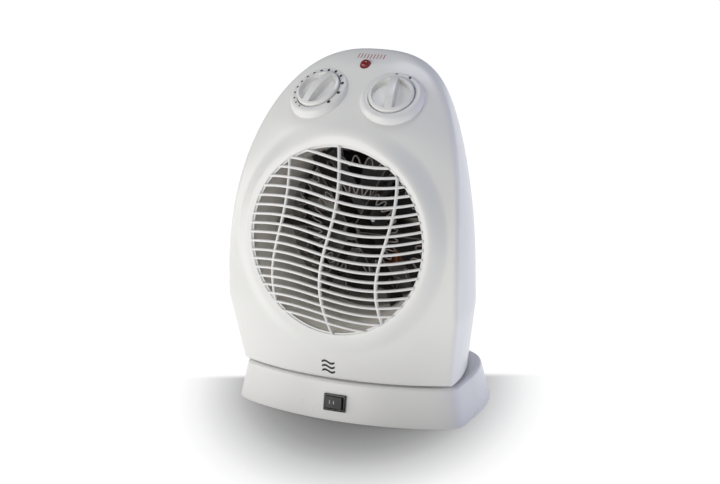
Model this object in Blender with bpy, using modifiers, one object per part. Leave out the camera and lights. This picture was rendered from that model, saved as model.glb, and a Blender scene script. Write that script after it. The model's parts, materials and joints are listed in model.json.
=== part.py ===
"""Oscillating fan convector heater: a leaning egg-shaped casing that swivels on a flared base.

Metres, +Z up, the face looks along -Y. The origin is on the floor under the middle of the object.
The swivel axis is the Z axis. The fan, duct and grille share one level axis, FAN_AXIS_Z above
the floor. Depths marked "behind the rim" are counted back from the middle of the grille's rim.
"""
import math

import bmesh
import bpy
from mathutils import Matrix, Vector

# ---- driving dimensions -------------------------------------------------------------------
WALL = 0.0024                 # thickness of every moulded shell
GAP = 0.0003                  # clearance between neighbours that rest on each other
RUN = 0.0005                  # radial clearance of a part that turns

RIM_RADIUS = 0.0818           # grille opening in the casing
RIM_Y = -0.0560               # middle of the grille's rim
FAN_AXIS_Z = 0.1625           # height of the grille's middle
RIM_LEAN = 0.13               # the rim's plane leans back this much for each metre up

HALF_WIDTH = 0.1104           # casing at its widest
WIDEST_Z = -0.045             # heights below are counted from the fan axis
KINK_Z = -0.062               # the soft corner under the widest stretch
LOW_TAPER = 0.158             # narrowing per metre below the soft corner
TOP_Z = 0.1505                # top of the face
BOTTOM_Z = -0.1235            # underside of the casing
EDGE_ROUND = 0.0030           # rounding where the face turns into the side
EDGE_LEAD = 0.0042            # the face's edge at the soft corner lies this far behind the rim
EDGE_SWEEP = 0.0810           # and sweeps back by this much more up to the top
EDGE_TUCK = 0.13              # below the soft corner it goes back this much per metre
PANEL_FOOT = 0.0945           # the face bends back into the control panel at this height
PANEL_SLOPE = 0.963           # extra depth per metre up the control panel
CROWN_FOOT = 0.1425           # over this height the face rolls back to meet the side wall
CROWN_SLOPE = 1.30
CHIN_SLOPE = 0.22             # extra depth per metre down, under the grille
CHIN_Z = -0.0950
FACE_SINK = 0.0015            # the face lies this far behind the rim's plane
COLLAR_WIDTH = 0.0040         # flat ring round the grille
COLLAR_BLEND = 0.0150         # the ring melts into the face over this width
SEAM_DEPTH = 0.0920           # the two casing halves meet here, behind the rim
BACK_DEPTH = 0.1310           # back wall of the casing, behind the rim

BAR_PITCH = 0.00787           # grille bars
BAR_HEIGHT = 0.0023
BAR_WAVE = 0.00484            # rise of a bar left of the middle, and its dip on the right
RIB_SPACING = 0.0503
RIB_WAVE = 0.0068
RIB_WIDTH = 0.0022
DOME = 0.0204                 # the grille bulges forward by this much

KNOB_X = 0.0349               # centres of the two knobs' faces over the sloping panel
KNOB_DEPTH = 0.0433
KNOB_Z = 0.1216
PANEL_NORMAL = Vector((0.12, -0.580, 0.806)).normalized()
PAD_RADIUS = 0.0285           # each knob sits in a round pad with sloping shoulders
PAD_TOP_RADIUS = 0.0245
PAD_SHOULDER = 0.0045
PAD_DEPTH = 0.0110
WELL_RADIUS = 0.0207
WELL_DEPTH = 0.0036
KNOB_RADIUS = 0.0200
KNOB_HEIGHT = 0.0022          # the knob's rim stands this far out of the pad
KNOB_FOOT = -0.0030           # and its underside lies this deep in the pad's well
GRIP_HEIGHT = 0.0056
SPINDLE_RADIUS = 0.0030
THERMOSTAT_GRIP = math.radians(-10)   # turn of each grip at rest
SELECTOR_GRIP = 0.0

BASE_HEIGHT = 0.0360          # top of the base above the floor
BASE_RIM = 0.0015             # the base's lower edge clears the floor by this much
BASE_FLARE = Vector((0.931, 0.895))   # top outline of the base as a share of the lower one
PIVOT_RADIUS = 0.0120         # hollow swivel tube
CRANK_Y = 0.0380              # crank shaft behind the swivel axis
CRANK_THROW = 0.0190          # gives a swing of asin(0.5) = 30 degrees to each side

DUCT_RADIUS = 0.0755
FAN_RADIUS = 0.0690

WHITE = ((0.83, 0.83, 0.81), 0.32, 0.0)
SHELL_WHITE = ((0.80, 0.80, 0.82), 0.34, 0.0)
BLACK = ((0.02, 0.02, 0.025), 0.35, 0.0)
RUBBER = ((0.03, 0.03, 0.03), 0.8, 0.0)
STEEL = ((0.55, 0.55, 0.55), 0.35, 1.0)
ZINC = ((0.42, 0.39, 0.36), 0.5, 0.8)
COPPER = ((0.70, 0.33, 0.16), 0.35, 1.0)
MICA = ((0.62, 0.56, 0.45), 0.6, 0.0)
NICHROME = ((0.35, 0.33, 0.31), 0.4, 1.0)
NYLON = ((0.75, 0.73, 0.66), 0.5, 0.0)
RED = ((0.45, 0.03, 0.04), 0.15, 0.0)

for old in list(bpy.data.objects):
    bpy.data.objects.remove(old, do_unlink=True)

parts = bpy.data.collections.new("fan_convector_heater")
cutters = bpy.data.collections.new("cutters")
bpy.context.scene.collection.children.link(parts)
bpy.context.scene.collection.children.link(cutters)


# ---- helpers ------------------------------------------------------------------------------
def paint(obj, look):
    colour, roughness, metallic = look
    mat = bpy.data.materials.new(obj.name)
    mat.use_nodes = True
    shader = mat.node_tree.nodes["Principled BSDF"]
    shader.inputs["Base Color"].default_value = (*colour, 1.0)
    shader.inputs["Roughness"].default_value = roughness
    shader.inputs["Metallic"].default_value = metallic
    obj.data.materials.clear()
    obj.data.materials.append(mat)


def place(obj, name, look=None, smooth=None):
    """Name an object and file it: with a look it is a part, without one a cutter."""
    obj.name = name
    for collection in list(obj.users_collection):
        collection.objects.unlink(obj)
    if look is None:
        cutters.objects.link(obj)
        obj.hide_render = True
        obj.display_type = 'WIRE'
    else:
        parts.objects.link(obj)
        paint(obj, look)
    if smooth is not None:
        obj.data.shade_smooth()
        obj.data.set_sharp_from_angle(angle=math.radians(smooth))
    return obj


def box(name, size, centre, look=None, turn=(0, 0, 0), round_by=0.0):
    bpy.ops.mesh.primitive_cube_add(size=1, location=centre, rotation=turn)
    obj = bpy.context.object
    obj.data.transform(Matrix.Diagonal((*size, 1)))
    place(obj, name, look)
    if round_by:
        bevel = obj.modifiers.new("rounding", 'BEVEL')
        bevel.width = round_by
        bevel.segments = 2
    return obj


def rod(name, radius, start, end, look=None, sides=32):
    """A cylinder between two points."""
    start = Vector(start)
    end = Vector(end)
    along = end - start
    bpy.ops.mesh.primitive_cylinder_add(vertices=sides, radius=radius, depth=along.length,
                                        location=(start + end) / 2)
    obj = bpy.context.object
    obj.rotation_euler = along.to_track_quat('Z', 'Y').to_euler()
    return place(obj, name, look, 40)


def turned(name, profile, origin, axis, look=None, steps=32):
    """A solid of revolution: (radius, height) points from the top down its outer side."""
    mesh = bpy.data.meshes.new(name)
    bm = bmesh.new()
    points = [bm.verts.new((radius, 0, height)) for radius, height in profile]
    for one, two in zip(points, points[1:]):
        bm.edges.new((one, two))
    if profile[0][0] > 0:
        bm.edges.new((points[-1], points[0]))
    bm.to_mesh(mesh)
    bm.free()
    obj = bpy.data.objects.new(name, mesh)
    place(obj, name, look)
    screw = obj.modifiers.new("turning", 'SCREW')
    screw.steps = steps
    screw.render_steps = steps
    screw.use_merge_vertices = True
    screw.merge_threshold = 0.00001
    obj.location = origin
    obj.rotation_euler = Vector(axis).to_track_quat('Z', 'Y').to_euler()
    return obj


def prism(name, outline, low, high, look=None, smooth=None):
    """A flat outline of (x, y) points extruded from one height to another."""
    mesh = bpy.data.meshes.new(name)
    bm = bmesh.new()
    face = bm.faces.new([bm.verts.new((x, y, low)) for x, y in outline])
    raised = bmesh.ops.extrude_face_region(bm, geom=[face])
    top = [item for item in raised["geom"] if isinstance(item, bmesh.types.BMVert)]
    bmesh.ops.translate(bm, verts=top, vec=(0, 0, high - low))
    bmesh.ops.recalc_face_normals(bm, faces=bm.faces)
    bm.to_mesh(mesh)
    bm.free()
    return place(bpy.data.objects.new(name, mesh), name, look, smooth)


def loft(name, rings, look=None, cap_last=False, smooth=35):
    """A skin over closed rings of points, each ring with the same number of points."""
    mesh = bpy.data.meshes.new(name)
    bm = bmesh.new()
    rows = [[bm.verts.new(point) for point in ring] for ring in rings]
    count = len(rings[0])
    for near, far in zip(rows, rows[1:]):
        for i in range(count):
            j = (i + 1) % count
            bm.faces.new((near[i], near[j], far[j], far[i]))
    if cap_last:
        bm.faces.new(rows[-1])
    bm.to_mesh(mesh)
    bm.free()
    return place(bpy.data.objects.new(name, mesh), name, look, smooth)


def solid_loft(name, rings, look=None):
    """A loft closed with a flat face at each end."""
    obj = loft(name, rings, look)
    bm = bmesh.new()
    bm.from_mesh(obj.data)
    bmesh.ops.holes_fill(bm, edges=bm.edges)
    bmesh.ops.recalc_face_normals(bm, faces=bm.faces)
    bm.to_mesh(obj.data)
    bm.free()
    return obj


def wire(name, points, radius, look, closed=False):
    """A round wire along points, turned into a mesh with welded caps."""
    curve = bpy.data.curves.new(name, 'CURVE')
    curve.dimensions = '3D'
    curve.bevel_depth = radius
    curve.bevel_resolution = 0
    curve.use_fill_caps = not closed
    spline = curve.splines.new('POLY')
    spline.points.add(len(points) - 1)
    for target, point in zip(spline.points, points):
        target.co = (*point, 1)
    spline.use_cyclic_u = closed
    guide = bpy.data.objects.new(name + "_guide", curve)
    bpy.context.scene.collection.objects.link(guide)
    bpy.context.view_layer.update()
    mesh = bpy.data.meshes.new_from_object(guide.evaluated_get(bpy.context.evaluated_depsgraph_get()))
    bpy.data.objects.remove(guide)
    bm = bmesh.new()
    bm.from_mesh(mesh)
    bmesh.ops.remove_doubles(bm, verts=bm.verts, dist=0.000001)
    bmesh.ops.recalc_face_normals(bm, faces=bm.faces)
    bm.to_mesh(mesh)
    bm.free()
    return place(bpy.data.objects.new(name, mesh), name, look)


def solidify(obj, thickness=WALL, offset=-1.0):
    skin = obj.modifiers.new("wall", 'SOLIDIFY')
    skin.thickness = thickness
    skin.offset = offset
    skin.use_even_offset = True


def cut(obj, tool, how='DIFFERENCE'):
    step = obj.modifiers.new(how.lower() + "_" + tool.name, 'BOOLEAN')
    step.operation = how
    step.object = tool


def add(obj, tool):
    cut(obj, tool, 'UNION')


def ring_of_angles(corner_angles, per_turn):
    """Angles round a full turn, with points exactly on the given corners of the right half."""
    stops = [0.0, *corner_angles, math.pi]
    half = []
    for start, end in zip(stops, stops[1:]):
        steps = max(2, round((end - start) / (2 * math.pi) * per_turn))
        half += [start + (end - start) * i / steps for i in range(steps)]
    return half + [math.pi] + [2 * math.pi - a for a in reversed(half[1:])]


def soft_step(t):
    t = min(1.0, max(0.0, t))
    return t * t * (3 - 2 * t)


def soft_ramp(t, softness):
    """Zero below t = 0 and equal to t above it, with a soft turn between."""
    if t > 20 * softness:
        return t
    return softness * math.log1p(math.exp(t / softness))


def in_casing(x, depth, z):
    """A point given sideways, behind the rim and above the fan axis, in world coordinates."""
    return Vector((x, RIM_Y + depth, FAN_AXIS_Z + z))


# ---- the casing's form --------------------------------------------------------------------
def half_width(z):
    if z < KINK_Z:
        return HALF_WIDTH - LOW_TAPER * (KINK_Z - z)
    if z < WIDEST_Z:
        return HALF_WIDTH
    t = min(1.0, (z - WIDEST_Z) / (TOP_Z - WIDEST_Z))
    return HALF_WIDTH * (1 - t ** 2.55) ** (1 / 2.6)


def edge_depth(z):
    """How far behind the rim the face's outer edge lies at this height."""
    if z < KINK_Z:
        return EDGE_LEAD + EDGE_TUCK * (KINK_Z - z)
    return EDGE_LEAD + EDGE_SWEEP * ((z - KINK_Z) / (TOP_Z - KINK_Z)) ** 2.1


def centre_depth(z):
    """The face's profile on the middle plane: upright, then sloping back as a panel."""
    return (RIM_LEAN * z + FACE_SINK + PANEL_SLOPE * soft_ramp(z - PANEL_FOOT, 0.003)
            + CROWN_SLOPE * soft_ramp(z - CROWN_FOOT, 0.001) + CHIN_SLOPE * soft_ramp(CHIN_Z - z, 0.004))


def face_depth(x, z):
    bow = min(1.0, abs(x) / max(half_width(z), 0.001)) ** 2.2
    face = centre_depth(z) * (1 - bow) + edge_depth(z) * bow
    reach = math.hypot(x, z) - RIM_RADIUS - COLLAR_WIDTH
    melt = soft_step(reach / COLLAR_BLEND)
    return RIM_LEAN * z * (1 - melt) + face * melt


def edge_reach(angle):
    """Distance from the fan axis to the face's outline, at an angle clockwise from the top."""
    low = RIM_RADIUS
    high = 0.2
    for _ in range(40):
        reach = (low + high) / 2
        x = reach * math.sin(angle)
        z = reach * math.cos(angle)
        inside = BOTTOM_Z < z < TOP_Z and abs(x) < half_width(z)
        low, high = (reach, high) if inside else (low, reach)
    return low


def narrowing(depth):
    """The casing's width at a depth, as a share of its full width."""
    return 1 - 0.032 * (max(0.0, depth - 0.020) / 0.030) ** 2


def crown(depth):
    """The top of the casing falls away behind the seam."""
    return 1 - 0.20 * (max(0.0, depth - 0.088) / 0.043) ** 2


corner = math.atan2(half_width(BOTTOM_Z), BOTTOM_Z)
kink = math.atan2(HALF_WIDTH, KINK_Z)
shell_angles = ring_of_angles([kink, corner], 54)
outline = [(edge_reach(a) * math.sin(a), edge_reach(a) * math.cos(a)) for a in shell_angles]


def face_ring(share, inset=0.0, sink=0.0):
    ring = []
    for angle in shell_angles:
        reach = RIM_RADIUS + (edge_reach(angle) - RIM_RADIUS) * share - inset
        x = reach * math.sin(angle)
        z = reach * math.cos(angle)
        ring.append(in_casing(x, face_depth(x, z) + sink, z))
    return ring


def side_ring(depth_or_share, from_edge=False, squeeze=1.0):
    """A ring round the side wall: at one depth, or just behind the face's edge."""
    ring = []
    for x, z in outline:
        edge = edge_depth(z) + EDGE_ROUND
        depth = edge + depth_or_share * (SEAM_DEPTH - edge) if from_edge else depth_or_share
        width = narrowing(depth) / narrowing(edge)
        height = crown(depth) if z > 0 else 1.0
        ring.append(in_casing(x * width * squeeze, depth, z * height * (squeeze if z > 0 else 1.0)))
    return ring


def panel_point(side, along=0.0):
    """A point on a control's axis, side -1 or +1, at a distance out of the pad's face."""
    normal = panel_normal(side)
    return in_casing(side * KNOB_X, KNOB_DEPTH, KNOB_Z) + normal * along


def panel_normal(side):
    return Vector((side * PANEL_NORMAL.x, PANEL_NORMAL.y, PANEL_NORMAL.z))


# ---- front_shell: face, collar, sloping panel and side wall in one moulding ---------------
rim_normal = Vector((0, -1, RIM_LEAN)).normalized()
front_rings = [face_ring(0.0, inset=0.0015)]
front_rings += [face_ring(share) for share in (0.10, 0.28, 0.46, 0.66, 0.84)]
front_rings += [face_ring(1.0, inset=EDGE_ROUND), face_ring(1.0, inset=0.0007, sink=0.0008)]
front_rings += [side_ring(share, from_edge=True) for share in (0.0, 0.40, 0.75, 1.0)]
front_shell = loft("front_shell", front_rings, WHITE)
solidify(front_shell)
cut(front_shell, rod("grille_opening", RIM_RADIUS, in_casing(0, 0, 0) + rim_normal * 0.03,
                     in_casing(0, 0, 0) - rim_normal * 0.03, sides=72))
pad_profile = [(0, 0), (PAD_TOP_RADIUS, 0), (PAD_RADIUS, -PAD_SHOULDER), (PAD_RADIUS, -PAD_DEPTH),
               (0, -PAD_DEPTH)]
for side, label in ((-1, "left"), (1, "right")):
    add(front_shell, turned("pad_" + label, pad_profile, panel_point(side), panel_normal(side), steps=48))
for side, label in ((-1, "left"), (1, "right")):
    cut(front_shell, rod("well_" + label, WELL_RADIUS, panel_point(side, -WELL_DEPTH),
                         panel_point(side, 0.0100), sides=40))
    cut(front_shell, rod("spindle_hole_" + label, 0.0042, panel_point(side, -0.03),
                         panel_point(side, 0.01), sides=20))
LAMP_Z = 0.1415
lamp_normal = Vector((0, -0.74, 0.67)).normalized()
lamp_seat = in_casing(0, face_depth(0, LAMP_Z), LAMP_Z)
cut(front_shell, rod("lamp_hole", 0.0050, lamp_seat - lamp_normal * 0.01,
                     lamp_seat + lamp_normal * 0.01, sides=20))
cut(front_shell, rod("pivot_hole_front", PIVOT_RADIUS + GAP, (0, 0, 0.030), (0, 0, 0.050)))

# ---- rear_shell: back half with intake slots and a hand recess ----------------------------
rear_rings = [side_ring(depth) for depth in (SEAM_DEPTH + GAP, 0.1050, 0.1180)]
rear_rings += [side_ring(0.1262, squeeze=0.990), side_ring(0.1300, squeeze=0.965),
               side_ring(BACK_DEPTH, squeeze=0.925)]
rear_shell = loft("rear_shell", rear_rings, SHELL_WHITE, cap_last=True)
solidify(rear_shell)
cut(rear_shell, box("seam_trim", (0.3, 0.010, 0.4), in_casing(0, SEAM_DEPTH + GAP - 0.005, 0)))
RECESS_Z = 0.088
RECESS_WIDTH = 0.0720
RECESS_HEIGHT = 0.0250
RECESS_DEPTH = 0.0190
BACK_Y = RIM_Y + BACK_DEPTH
recess_low = BACK_Y - RECESS_DEPTH
add(rear_shell, box("recess_wall", (RECESS_WIDTH + 0.0060, RECESS_DEPTH + 0.0015, RECESS_HEIGHT + 0.0060),
                    (0, recess_low + 0.0072, FAN_AXIS_Z + RECESS_Z), round_by=0.003))
cut(rear_shell, box("recess_pocket", (RECESS_WIDTH, 0.0300, RECESS_HEIGHT),
                    (0, recess_low + 0.0150, FAN_AXIS_Z + RECESS_Z), round_by=0.003))
INTAKE_RADIUS = 0.050
SLOT_PITCH = 0.0100
SLOT_HEIGHT = 0.0036
MULLION = 0.0030              # half the width of the bar between the two columns of slots
for row in range(-4, 5):
    height = row * SLOT_PITCH
    chord = math.sqrt(INTAKE_RADIUS ** 2 - height ** 2)
    for side in (-1, 1):
        cut(rear_shell, box("intake_slot", (chord - MULLION, 0.012, SLOT_HEIGHT),
                            (side * (chord + MULLION) / 2, BACK_Y, FAN_AXIS_Z + height)))
rear_screws = [(-0.044, 0.062), (0.044, 0.062), (-0.044, -0.105), (0.044, -0.105)]
CHASSIS_DEPTH = 0.0850
for number, (x, z) in enumerate(rear_screws, 1):
    height = FAN_AXIS_Z + z
    add(rear_shell, rod("rear_post_%d" % number, 0.0042, (x, RIM_Y + SEAM_DEPTH, height),
                        (x, BACK_Y - 0.0010, height), sides=16))
    cut(rear_shell, rod("rear_hole_%d" % number, 0.0018, (x, RIM_Y + CHASSIS_DEPTH, height),
                        (x, BACK_Y + 0.0100, height), sides=12))
    turned("rear_screw_%d" % number, [(0, 0.0018), (0.0024, 0.0016), (0.0033, 0), (0.0014, 0),
                                      (0.0014, -0.0450), (0, -0.0465)],
           (x, BACK_Y + GAP, height), (0, 1, 0), STEEL, steps=12)

# ---- chassis: the moulded plate that carries the duct, the motor and the screws -----------
chassis_outline = []
for x, z in outline:
    narrow = narrowing(CHASSIS_DEPTH + 0.003) / narrowing(edge_depth(z))
    chassis_outline.append((x * narrow * 0.955, z * (0.955 if z > 0 else 0.970)))
chassis = prism("chassis", chassis_outline, 0, 0.0028, NYLON)
chassis.rotation_euler = (math.pi / 2, 0, 0)
chassis.location = in_casing(0, CHASSIS_DEPTH + 0.0028, 0)
cut(chassis, rod("fan_hole", DUCT_RADIUS - 0.003, in_casing(0, 0.07, 0), in_casing(0, 0.10, 0), sides=48))
for x, z in rear_screws:
    cut(chassis, rod("screw_hole", 0.0017, in_casing(x, 0.07, z), in_casing(x, 0.10, z), sides=12))

# ---- front_grille: one moulding of wavy bars, three ribs and a flanged ring ---------------
def dome(x, z):
    """Depth of the grille's bulging skin, negative is forward."""
    reach = min(1.0, math.hypot(x, z) / RIM_RADIUS)
    return RIM_LEAN * z - DOME * (1 - reach ** 1.8)


def swept_bar(name, centres, half_wide, half_deep, across):
    """A bar of rectangular section along centres; across is the section's width direction."""
    rings = []
    for point in centres:
        wide = Vector(across) * half_wide
        deep = Vector((0, half_deep, 0))
        rings.append([point - wide - deep, point - wide + deep, point + wide + deep, point + wide - deep])
    return solid_loft(name, rings)


def bar_height(x, level):
    return level - BAR_WAVE * math.sin(math.pi * x / RIM_RADIUS)


def rib_place(z, middle):
    return middle + RIB_WAVE * math.sin(math.pi * z / RIM_RADIUS)


def ring_crossing(curve, way):
    """How far along a wavy bar, left or right of its middle, it meets the grille's ring."""
    near = 0.0
    far = RIM_RADIUS
    for _ in range(30):
        middle = (near + far) / 2
        x, z = curve(way * middle)
        inside = math.hypot(x, z * math.hypot(1, RIM_LEAN)) < BAR_END
        near, far = (middle, far) if inside else (near, middle)
    return way * near


RING_OUTER = RIM_RADIUS - GAP
RING_INNER = RIM_RADIUS - 0.0022
BAR_END = RIM_RADIUS - 0.0010
ring_profile = [(RING_OUTER, -0.0004), (RING_OUTER, -0.0080), (RING_INNER, -0.0080), (RING_INNER, -0.0004)]
front_grille = turned("front_grille", ring_profile, in_casing(0, 0, 0), rim_normal, WHITE, steps=52)
BAR_COUNT = 19
for row in range(BAR_COUNT):
    level = (row - (BAR_COUNT - 1) / 2) * BAR_PITCH
    left = ring_crossing(lambda x: (x, bar_height(x, level)), -1)
    right = ring_crossing(lambda x: (x, bar_height(x, level)), 1)
    pieces = max(4, round((right - left) / RIM_RADIUS * 5))
    centres = []
    for i in range(pieces + 1):
        x = left + (right - left) * i / pieces
        z = bar_height(x, level)
        centres.append(in_casing(x, dome(x, z), z))
    add(front_grille, swept_bar("bar_%02d" % row, centres, BAR_HEIGHT / 2, 0.0011, (0, 0, 1)))
for column in (-1, 0, 1):
    middle = column * RIB_SPACING
    low = ring_crossing(lambda z: (rib_place(z, middle), z), -1)
    high = ring_crossing(lambda z: (rib_place(z, middle), z), 1)
    centres = []
    for i in range(11):
        z = low + (high - low) * i / 10
        x = rib_place(z, middle)
        centres.append(in_casing(x, dome(x, z) + 0.0012, z))
    add(front_grille, swept_bar("rib_%d" % (column + 1), centres, RIB_WIDTH / 2, 0.0016, (1, 0, 0)))

# ---- air_duct, element_frame and the two heating coils ------------------------------------
DUCT_START = 0.0110           # the duct's front edge leans with the grille, this far behind its rim
air_duct = rod("air_duct", DUCT_RADIUS, in_casing(0, -0.0100, 0), in_casing(0, CHASSIS_DEPTH - GAP, 0),
               ZINC, sides=56)
cut(air_duct, rod("duct_bore", DUCT_RADIUS - 0.0008, in_casing(0, -0.05, 0), in_casing(0, 0.1, 0), sides=56))
cut(air_duct, box("duct_front", (0.2, 0.1, 0.2), in_casing(0, DUCT_START, 0) + rim_normal * 0.05,
                  turn=(-math.atan(RIM_LEAN), 0, 0)))

COIL_DEPTH = 0.0440
element_frame = box("element_frame", (2 * DUCT_RADIUS - 0.0030, 0.026, 0.0010),
                    in_casing(0, COIL_DEPTH, 0), MICA)
for turn in (60, 120):
    add(element_frame, box("mica_card", (2 * DUCT_RADIUS - 0.0030, 0.026, 0.0010),
                           in_casing(0, COIL_DEPTH, 0), turn=(0, math.radians(turn), 0)))
add(element_frame, rod("mica_hub", 0.0080, in_casing(0, COIL_DEPTH - 0.013, 0),
                       in_casing(0, COIL_DEPTH + 0.013, 0), sides=24))
cut(element_frame, rod("mica_bore", 0.0050, in_casing(0, 0, 0), in_casing(0, 0.1, 0), sides=24))
for name, radius, depth in (("heating_coil_inner", 0.0370, COIL_DEPTH - 0.0060),
                            ("heating_coil_outer", 0.0590, COIL_DEPTH + 0.0060)):
    clearance = turned("notch_" + name, [(radius + 0.0062, 0.0022), (radius + 0.0062, -0.0022),
                                         (radius - 0.0062, -0.0022), (radius - 0.0062, 0.0022)],
                       in_casing(0, depth, 0), (0, -1, 0), steps=48)
    cut(element_frame, clearance)
    folds = 54
    zigzag = []
    for i in range(folds):
        angle = math.radians(12 + 336 * i / (folds - 1))
        reach = radius + (0.0045 if i % 2 else -0.0045)
        zigzag.append(in_casing(reach * math.sin(angle), depth, -reach * math.cos(angle)))
    wire(name, zigzag, 0.0011, NICHROME)

cutout_seat = in_casing(0.0300, COIL_DEPTH - 0.0150, -0.0520)
turned("thermal_cutout", [(0, 0.0060), (0.0070, 0.0060), (0.0075, 0), (0, 0)], cutout_seat,
       (0, -1, 0), BLACK, steps=24)

# ---- fan motor: laminated stator, coil and two bearing brackets ---------------------------
STATOR_MIDDLE = 0.1065
STATOR_TOP = 0.0220
STATOR_FOOT = -0.0380
LIMB_HEIGHT = 0.0080          # the bottom bar of the laminations, which carries the coil
COIL_LENGTH = 0.0300
COIL_SIZE = 0.0240
WINDOW_TOP = -0.0210
motor_stator = box("motor_stator", (0.0560, 0.0150, STATOR_TOP - STATOR_FOOT),
                   in_casing(0, STATOR_MIDDLE, (STATOR_TOP + STATOR_FOOT) / 2), STEEL)
cut(motor_stator, rod("rotor_bore", 0.0136, in_casing(0, 0.09, 0), in_casing(0, 0.12, 0)))
window_foot = STATOR_FOOT + LIMB_HEIGHT
cut(motor_stator, box("coil_window", (COIL_LENGTH + 2 * RUN, 0.03, WINDOW_TOP - window_foot),
                      in_casing(0, STATOR_MIDDLE, (WINDOW_TOP + window_foot) / 2)))
limb_middle = STATOR_FOOT + LIMB_HEIGHT / 2
motor_coil = box("motor_coil", (COIL_LENGTH, 0.0260, COIL_SIZE),
                 in_casing(0, STATOR_MIDDLE, limb_middle), COPPER, round_by=0.002)
cut(motor_coil, box("limb", (0.06, 0.0150 + 2 * GAP, LIMB_HEIGHT + 2 * GAP),
                    in_casing(0, STATOR_MIDDLE, limb_middle)))
for name, depth in (("motor_front_bracket", 0.0965), ("motor_rear_bracket", 0.1145)):
    plate = box(name, (0.0480, 0.0018, 0.0180), in_casing(0, depth + 0.0009, 0), ZINC)
    cut(plate, rod("shaft_hole", 0.0030, in_casing(0, 0.09, 0), in_casing(0, 0.12, 0), sides=20))
motor_mount = box("motor_mount", (0.1560, 0.0040, 0.0180), in_casing(0, 0.0910, 0), ZINC)
cut(motor_mount, rod("shaft_clearance", 0.0075, in_casing(0, 0.08, 0), in_casing(0, 0.12, 0), sides=24))

# ---- fan: impeller and motor shaft turn together ------------------------------------------
motor_shaft = turned("motor_shaft", [(0, 0.0), (0.0025, 0.0), (0.0025, -0.0260), (0.0130, -0.0260),
                                     (0.0130, -0.0400), (0.0025, -0.0400), (0.0025, -0.0470), (0, -0.0470)],
                     in_casing(0, 0.0735, 0), (0, -1, 0), STEEL)
fan_impeller = turned("fan_impeller", [(0.0028, 0.0), (0.0150, 0.0), (0.0160, -0.0100), (0.0028, -0.0100)],
                      in_casing(0, 0.0740, 0), (0, -1, 0), BLACK, steps=32)
for blade in range(6):
    angle = blade * math.tau / 6
    rings = []
    for step in range(7):
        reach = 0.0145 + (FAN_RADIUS - 0.0145) * step / 6
        pitch = math.radians(38 - 14 * step / 6)
        sweep = angle + 0.35 * (step / 6) ** 1.5
        chord = 0.0090 + 0.0080 * math.sin(math.pi * (0.15 + 0.6 * step / 6))
        out = Vector((math.sin(sweep), 0, math.cos(sweep)))
        round_way = Vector((math.cos(sweep), 0, -math.sin(sweep)))
        along = round_way * math.cos(pitch) * chord + Vector((0, 1, 0)) * math.sin(pitch) * chord * 0.5
        thick = Vector((0, 0.0006, 0))
        middle = in_casing(0, 0.0790, 0) + out * reach
        rings.append([middle - along - thick, middle - along + thick,
                      middle + along + thick, middle + along - thick])
    add(fan_impeller, solid_loft("blade_%d" % blade, rings))

# ---- the two controls: switch bodies, spindles and knobs ----------------------------------
def control(name, side, grip_turn):
    """A switch body under the panel, its spindle, and a knob with a grip across it."""
    body = rod(name, 0.0145, panel_point(side, -0.0300), panel_point(side, -0.0115), NYLON)
    cut(body, rod("socket", SPINDLE_RADIUS + RUN, panel_point(side, -0.0260), panel_point(side, 0)))
    knob = turned(name + "_knob", [(0, KNOB_HEIGHT - 0.0020), (KNOB_RADIUS - 0.0032, KNOB_HEIGHT - 0.0020),
                                   (KNOB_RADIUS - 0.0022, KNOB_HEIGHT), (KNOB_RADIUS - 0.0006, KNOB_HEIGHT),
                                   (KNOB_RADIUS, KNOB_HEIGHT - 0.0008), (KNOB_RADIUS, KNOB_FOOT),
                                   (0, KNOB_FOOT)],
                  panel_point(side), panel_normal(side), WHITE, steps=40)
    grip = box(name + "_grip", (0.0076, 2 * KNOB_RADIUS - 0.0030, GRIP_HEIGHT - KNOB_FOOT - 0.0010),
               (0, 0, 0), round_by=0.002)
    grip.rotation_euler = (knob.rotation_euler.to_matrix() @ Matrix.Rotation(grip_turn, 3, 'Z')).to_euler()
    grip.location = panel_point(side, (GRIP_HEIGHT + KNOB_FOOT + 0.0010) / 2)
    add(knob, grip)
    rod(name + "_spindle", SPINDLE_RADIUS, panel_point(side, -0.0250), panel_point(side, KNOB_FOOT - GAP),
        STEEL, sides=20)


control("thermostat", -1, THERMOSTAT_GRIP)
control("selector_switch", 1, SELECTOR_GRIP)

# ---- pilot lamp ---------------------------------------------------------------------------
turned("lamp_lens", [(0, 0.0030), (0.0028, 0.0026), (0.0045, 0.0012), (0.0046, -0.0080), (0, -0.0080)],
       lamp_seat, lamp_normal, RED, steps=24)
turned("lamp_bulb", [(0, 0), (0.0025, -0.0010), (0.0028, -0.0120), (0, -0.0120)],
       lamp_seat - lamp_normal * 0.0083, lamp_normal, NYLON, steps=16)

# ---- swivel: pivot tube, washer, clip and slotted drive arm under the casing ---------------
BODY_FLOOR = FAN_AXIS_Z + BOTTOM_Z
PIVOT_BORE = 0.0090
collar_low = WALL + 0.0030
collar_top = WALL + 0.0050
pivot_tube = turned("pivot_tube", [(0.0180, collar_top), (0.0180, collar_low), (PIVOT_RADIUS, collar_low),
                                   (PIVOT_RADIUS, -0.0190), (PIVOT_BORE, -0.0190), (PIVOT_BORE, collar_top)],
                    (0, 0, BODY_FLOOR), (0, 0, 1), NYLON)
pivot_clip = turned("pivot_clip", [(0.0155, 0.0015), (0.0155, 0), (PIVOT_RADIUS + GAP, 0),
                                   (PIVOT_RADIUS + GAP, 0.0015)], (0, 0, BODY_FLOOR - 0.0182), (0, 0, 1), STEEL)
SLOT_ENDS = (CRANK_Y - CRANK_THROW - 0.0030, CRANK_Y + CRANK_THROW + 0.0030)
drive_arm = box("drive_arm", (0.0140, SLOT_ENDS[1] + 0.0180, 0.0010),
                (0, (SLOT_ENDS[1] + 0.0060) / 2, BODY_FLOOR - GAP - 0.0005), STEEL)
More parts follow.
